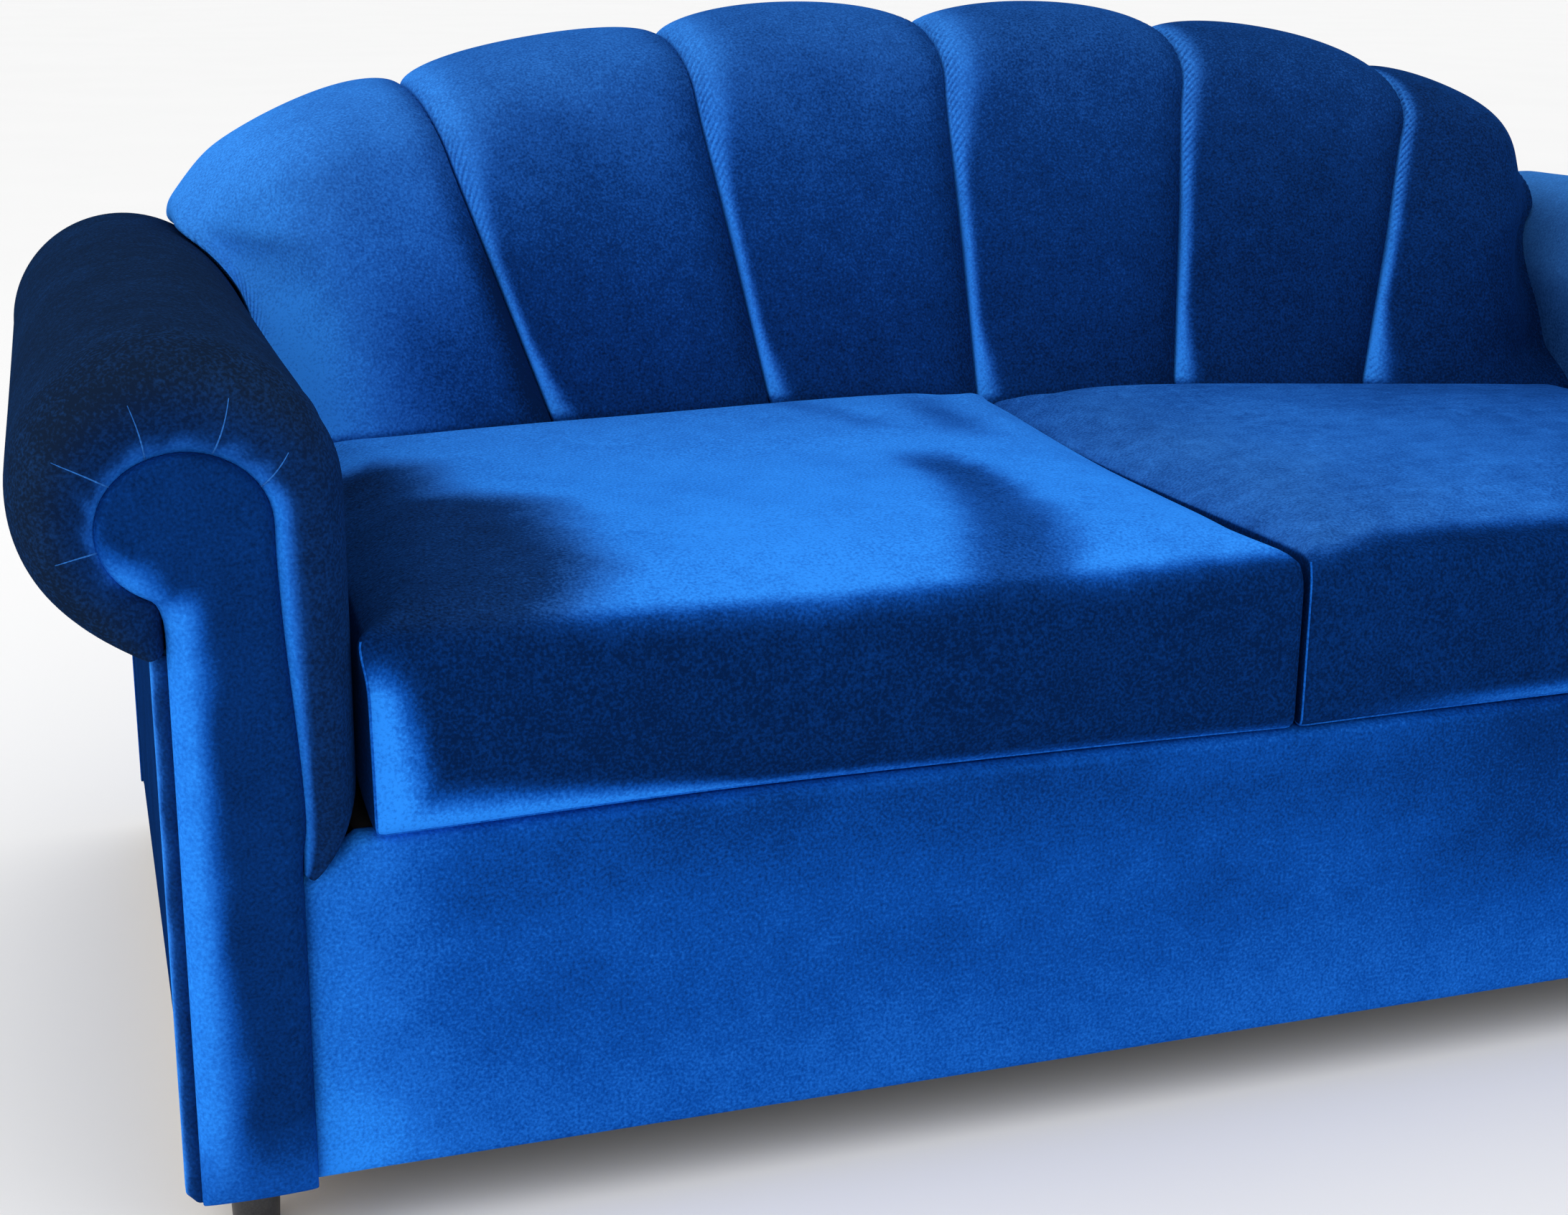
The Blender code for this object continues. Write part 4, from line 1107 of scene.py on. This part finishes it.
seam = {"radius": 0.0009, "step": 0.004, "nap": 0.62}
cordTree = growTree("seamCord", seatVelvet, {"Radius": 0.001, "Step": 0.004, "Taper": 0.0}, cordBuild)
for side in sides:
    cushion = scene.objects["seatCushion" + side]
    leftEnd = 1 if side == "Left" else 0
    edges = [({0: leftEnd, 1: 0}, 2), ({1: 0, 2: 0}, 0), ({0: 0, 2: 0}, 1), ({0: 1, 2: 0}, 1)]
    paths = [edgePath(cushion, fixed, sortBy) for fixed, sortBy in edges]
    sizes = {"Radius": seam["radius"], "Step": seam["step"]}
    seams = followPaths("cushionSeams" + side, cordTree, paths, sizes)
    # painted highlight: the seam cords are lighter than the fabric around them
    brush(seams, seam["nap"])
    handOver(seams, body=side.lower() + "_cushion")

pleat = {
    "angles": (-13, 37, 67, 111, 152),             # around the scroll
    "turns": (6, -6, 9, -5, -26),                  # away from straight out
    "lengths": (0.028, 0.041, 0.040, 0.041, 0.031), "start": 1.02, "bend": 0.0012,
    "radius": 0.0007, "step": 0.003, "taper": 0.6, "nap": 0.66, "haze": 0.5,
}


def heading(degrees):
    return np.array([math.cos(math.radians(degrees)), math.sin(math.radians(degrees))])


def pleatPaths(pad, sign):
    surface = surfaceOf(pad)
    narrow = arm["seamLean"] / 2
    middle, half = np.array([scrollX + narrow, scrollZ]), np.array([scrollHalf - narrow, scrollRise])
    shares = np.linspace(0, 1, 14)[:, None]
    paths = []
    for angle, turn, length in zip(pleat["angles"], pleat["turns"], pleat["lengths"]):
        run = heading(angle + turn)
        start = middle + half * heading(angle) * pleat["start"]
        bend = pleat["bend"] * np.sin(3 * shares) * np.array([-run[1], run[0]])
        line = start + run * length * shares + bend
        paths.append(laidOn(surface, [(sign * across, -2, up) for across, up in line], (0, 1, 0)))
    return paths


for side, sign in sides.items():
    paths = pleatPaths(scene.objects["armPad" + side], sign)
    sizes = {"Radius": pleat["radius"], "Step": pleat["step"], "Taper": pleat["taper"]}
    pleats = followPaths("armPleats" + side, cordTree, paths, sizes)
    # painted highlight: the pleat ridges are lighter than the arm around them
    brush(pleats, pleat["nap"], pleat["haze"])
    handOver(pleats)
print("seams and pleats sewn")


# Platform under the cushions and dust cloth under the frame

deck = {"thick": 0.0145, "cuts": (60, 40, 2), "round": 0.006, "sink": 0.002}


def deckShape(u, v, w):
    lowCorner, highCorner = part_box("seat_deck")
    front, rear = lowCorner.y - frontY, highCorner.y - frontY
    y = mix(front, rear, pinched(v, 0.4))
    half = leanIn(seat["half"] - fit, y)
    x = half * spread(u, 0.4)
    edge = np.minimum(half - np.abs(x), np.minimum(y - front, rear - y))
    dip = deck["sink"] * (1 - (x / half) ** 2) * np.sin(math.pi * (y - front) / (rear - front))
    thick = deck["thick"] * mix(0.6, 1.0, roundOver(edge, deck["round"])) - dip
    return x, y, lowCorner.z + w * thick


platform = sewPiece("seatPlatform", deck["cuts"], deckShape, finishes["platform_cloth"])
handOver(platform, "seat_deck")

dust = {"cuts": (56, 34), "sag": 0.004, "held": 0.7, "heldWidth": 0.05}       # held up under the stretcher
dustLow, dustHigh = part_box("dust_cover")
dustFront, dustRear = dustLow.y - frontY, dustHigh.y - frontY
dustSteps = [np.linspace(start, 1, cuts + 1) for start, cuts in zip((-1, 0), dust["cuts"])]
acrossDust, alongDust = np.meshgrid(*dustSteps)
dustY = mix(dustFront, dustRear, alongDust)
dustX = leanIn(panelInner - fit, dustY) * acrossDust
dustDip = (1 - acrossDust ** 4) * np.sin(math.pi * alongDust)
dustZ = dustHigh.z - dust["sag"] * dustDip * (1 - dust["held"] * bell(dustX, dust["heldWidth"]))
dustPoints = np.stack([dustX, dustY, dustZ], -1).reshape(-1, 3) + (0, frontY, 0)
number = np.arange(len(dustPoints)).reshape(dustX.shape)
dustFaces = np.stack([number[:-1, :-1], number[1:, :-1], number[1:, 1:], number[:-1, 1:]], -1).reshape(-1, 4)
dustCloth = show("dustCloth", meshOf("dustCloth", dustPoints, dustFaces, finishes["black_cloth"]))
handOver(dustCloth, "dust_cover")

stitch = {"pitch": 0.0075, "length": 0.0052, "height": 0.0016, "radius": 0.00045, "inset": 0.028}
staple = {"pitch": 0.055, "length": 0.011, "height": -0.0022, "radius": 0.0006, "inset": 0.012}


def hemPaths(piece, inset, look):
    surface = surfaceOf(piece)
    points = places(piece.data)
    front, rear = points[:, 1].min() + inset, points[:, 1].max() - inset
    width = min(panelInner - fit, points[:, 0].max())
    corners = np.array([(-1, front), (1, front), (1, rear), (-1, rear)])
    shares = np.linspace(0.01, 0.99, 60)[:, None]
    paths = []
    for start, end in zip(corners, np.roll(corners, -1, 0)):
        across, y = mix(start, end, shares).T
        x = (leanIn(width, y) - inset) * across
        paths.append(laidOn(surface, np.stack([x, y + frontY, np.full_like(x, -look)], 1), (0, 0, look)))
    return paths


def hemRow(name, piece, sizes, look, finish):
    values = {key.capitalize(): sizes[key] for key in ("pitch", "length", "height", "radius")}
    tree = growTree(name, finishes[finish], values, stitchBuild)
    row = followPaths(name, tree, hemPaths(piece, sizes["inset"], look), values)
    handOver(row)


hemRow("platformStitches", platform, stitch, -1, "black_cloth")
hemRow("dustClothStaples", dustCloth, staple, 1, "screw_steel")
print("platform and dust cloth laid")


# Turned plastic feet

foot = {
    "sides": 56, "bore": 0.0034, "counterbore": 0.0075, "counterDepth": 0.012,
    "edgeOut": 0.0006, "edgeUp": 0.0008,           # broken edge of the counterbore
    "rim": 0.0190,                                 # radius that the outline below is drawn for
    "profile": [(0.0190, 0.0), (0.0190, 0.0035), (0.0183, 0.0046), (0.0183, 0.0060), (0.0186, 0.0068)],
    "sole": [(0.0166, 0.0034), (0.0160, 0.0016), (0.0150, 0.0006), (0.0138, 0.0)],
}


def turnedFoot(name, node):
    lowCorner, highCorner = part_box(node)
    middle = (lowCorner + highCorner) / 2
    top, scale = highCorner.z, (highCorner.x - lowCorner.x) / 2 / foot["rim"]
    outline = [(foot["bore"], top)] + [(r * scale, top - drop) for r, drop in foot["profile"]]
    outline += [(r * scale, rise) for r, rise in foot["sole"]]
    outline += [(foot["counterbore"] + foot["edgeOut"], 0.0), (foot["counterbore"], foot["edgeUp"])]
    outline += [(foot["counterbore"], foot["counterDepth"]), (foot["bore"], foot["counterDepth"])]
    turns = np.linspace(0, 2 * math.pi, foot["sides"], endpoint=False)
    radius, height = np.array(outline).T
    points = np.stack([
        middle.x + np.outer(np.cos(turns), radius), middle.y + np.outer(np.sin(turns), radius),
        np.broadcast_to(height, (foot["sides"], len(height))),
    ], -1).reshape(-1, 3)
    number = np.arange(len(points)).reshape(foot["sides"], len(height))
    after, below = np.roll(number, -1, 0), np.roll(number, -1, 1)
    faces = np.stack([number, below, np.roll(after, -1, 1), after], -1).reshape(-1, 4)
    piece = show(name, meshOf(name, points, faces, finishes["black_plastic"]))
    piece.data.set_sharp_from_angle(angle=math.radians(35))
    handOver(piece, node)


for place in ("front_left", "front_right", "rear_left", "rear_right"):
    turnedFoot("foot" + place.title().replace("_", ""), "foot_" + place)
print("feet turned")


# Stage

view = {
    "place": (-0.953832, -1.508512 + frontY, 0.908378), "yaw": 19.42298, "pitch": 16.25731, "roll": 0.55873,
    "lens": 54.498, "sensor": 36.0,
}
lights = {
    "windowLight": {"place": (-3.2, -1.2, 2.2), "aim": (0, 0.1, 0.5), "size": (2.4, 2.0), "power": 30},
    "frontFill": {"place": (1.6, -3.4, 2.0), "aim": (0, 0, 0.4), "size": (2.5, 2.0), "power": 8},
}
ground = {
    "reach": 40.0, "scale": 1.5, "roughness": 0.8,
    "tones": [(0.35, (0.925, 0.925, 0.925)), (0.65, (0.935, 0.935, 0.935))],
}


def photoCamera():
    yaw, pitch, roll = (math.radians(view[key]) for key in ("yaw", "pitch", "roll"))
    ahead = Vector((math.sin(yaw) * math.cos(pitch), math.cos(yaw) * math.cos(pitch), -math.sin(pitch)))
    level = Vector((math.cos(yaw), -math.sin(yaw), 0))
    above = level.cross(ahead)
    right = level * math.cos(roll) + above * math.sin(roll)
    up = above * math.cos(roll) - level * math.sin(roll)
    lens = bpy.data.cameras.new("photoCamera")
    lens.sensor_fit = "HORIZONTAL"
    lens.sensor_width = view["sensor"]
    lens.lens = view["lens"]
    holder = bpy.data.objects.new("photoCamera", lens)
    turned = Matrix((right, up, -ahead)).transposed().to_4x4()
    holder.matrix_world = Matrix.Translation(view["place"]) @ turned
    scene.collection.objects.link(holder)
    scene.camera = holder


def softLight(name, place, aim, size, power):
    lamp = bpy.data.lights.new(name, "AREA")
    lamp.shape = "RECTANGLE"
    lamp.size, lamp.size_y = size
    lamp.energy = power
    holder = bpy.data.objects.new(name, lamp)
    holder.location = place
    holder.rotation_euler = (Vector(aim) - Vector(place)).to_track_quat("-Z", "Y").to_euler()
    scene.collection.objects.link(holder)


def studio():
    reach = ground["reach"]
    corners = [(-reach, -reach, 0), (reach, -reach, 0), (reach, reach, 0), (-reach, reach, 0)]
    floorMesh = bpy.data.meshes.new("studioFloor")
    floorMesh.from_pydata(corners, [], [(0, 1, 2, 3)])
    floor = show("studioFloor", floorMesh)
    finish, nodes, shader = newFinish("pale studio floor")
    pattern = nodes.noise(nodes.where(), ground["scale"])
    nodes.put(shader, {"Base Color": nodes.ramp(pattern, ground["tones"]), "Roughness": ground["roughness"]})
    floorMesh.materials.append(finish)
    sky = bpy.data.worlds.new("studioSky")
    sky.use_nodes = True
    Nodes(sky.node_tree).put(sky.node_tree.nodes["Background"], {"Color": (1, 1, 1, 1), "Strength": 1.0})
    scene.world = sky
    for name, values in lights.items():
        softLight(name, **values)
    scene.view_settings.view_transform = "Standard"


photoCamera()
studio()
print("stage set")
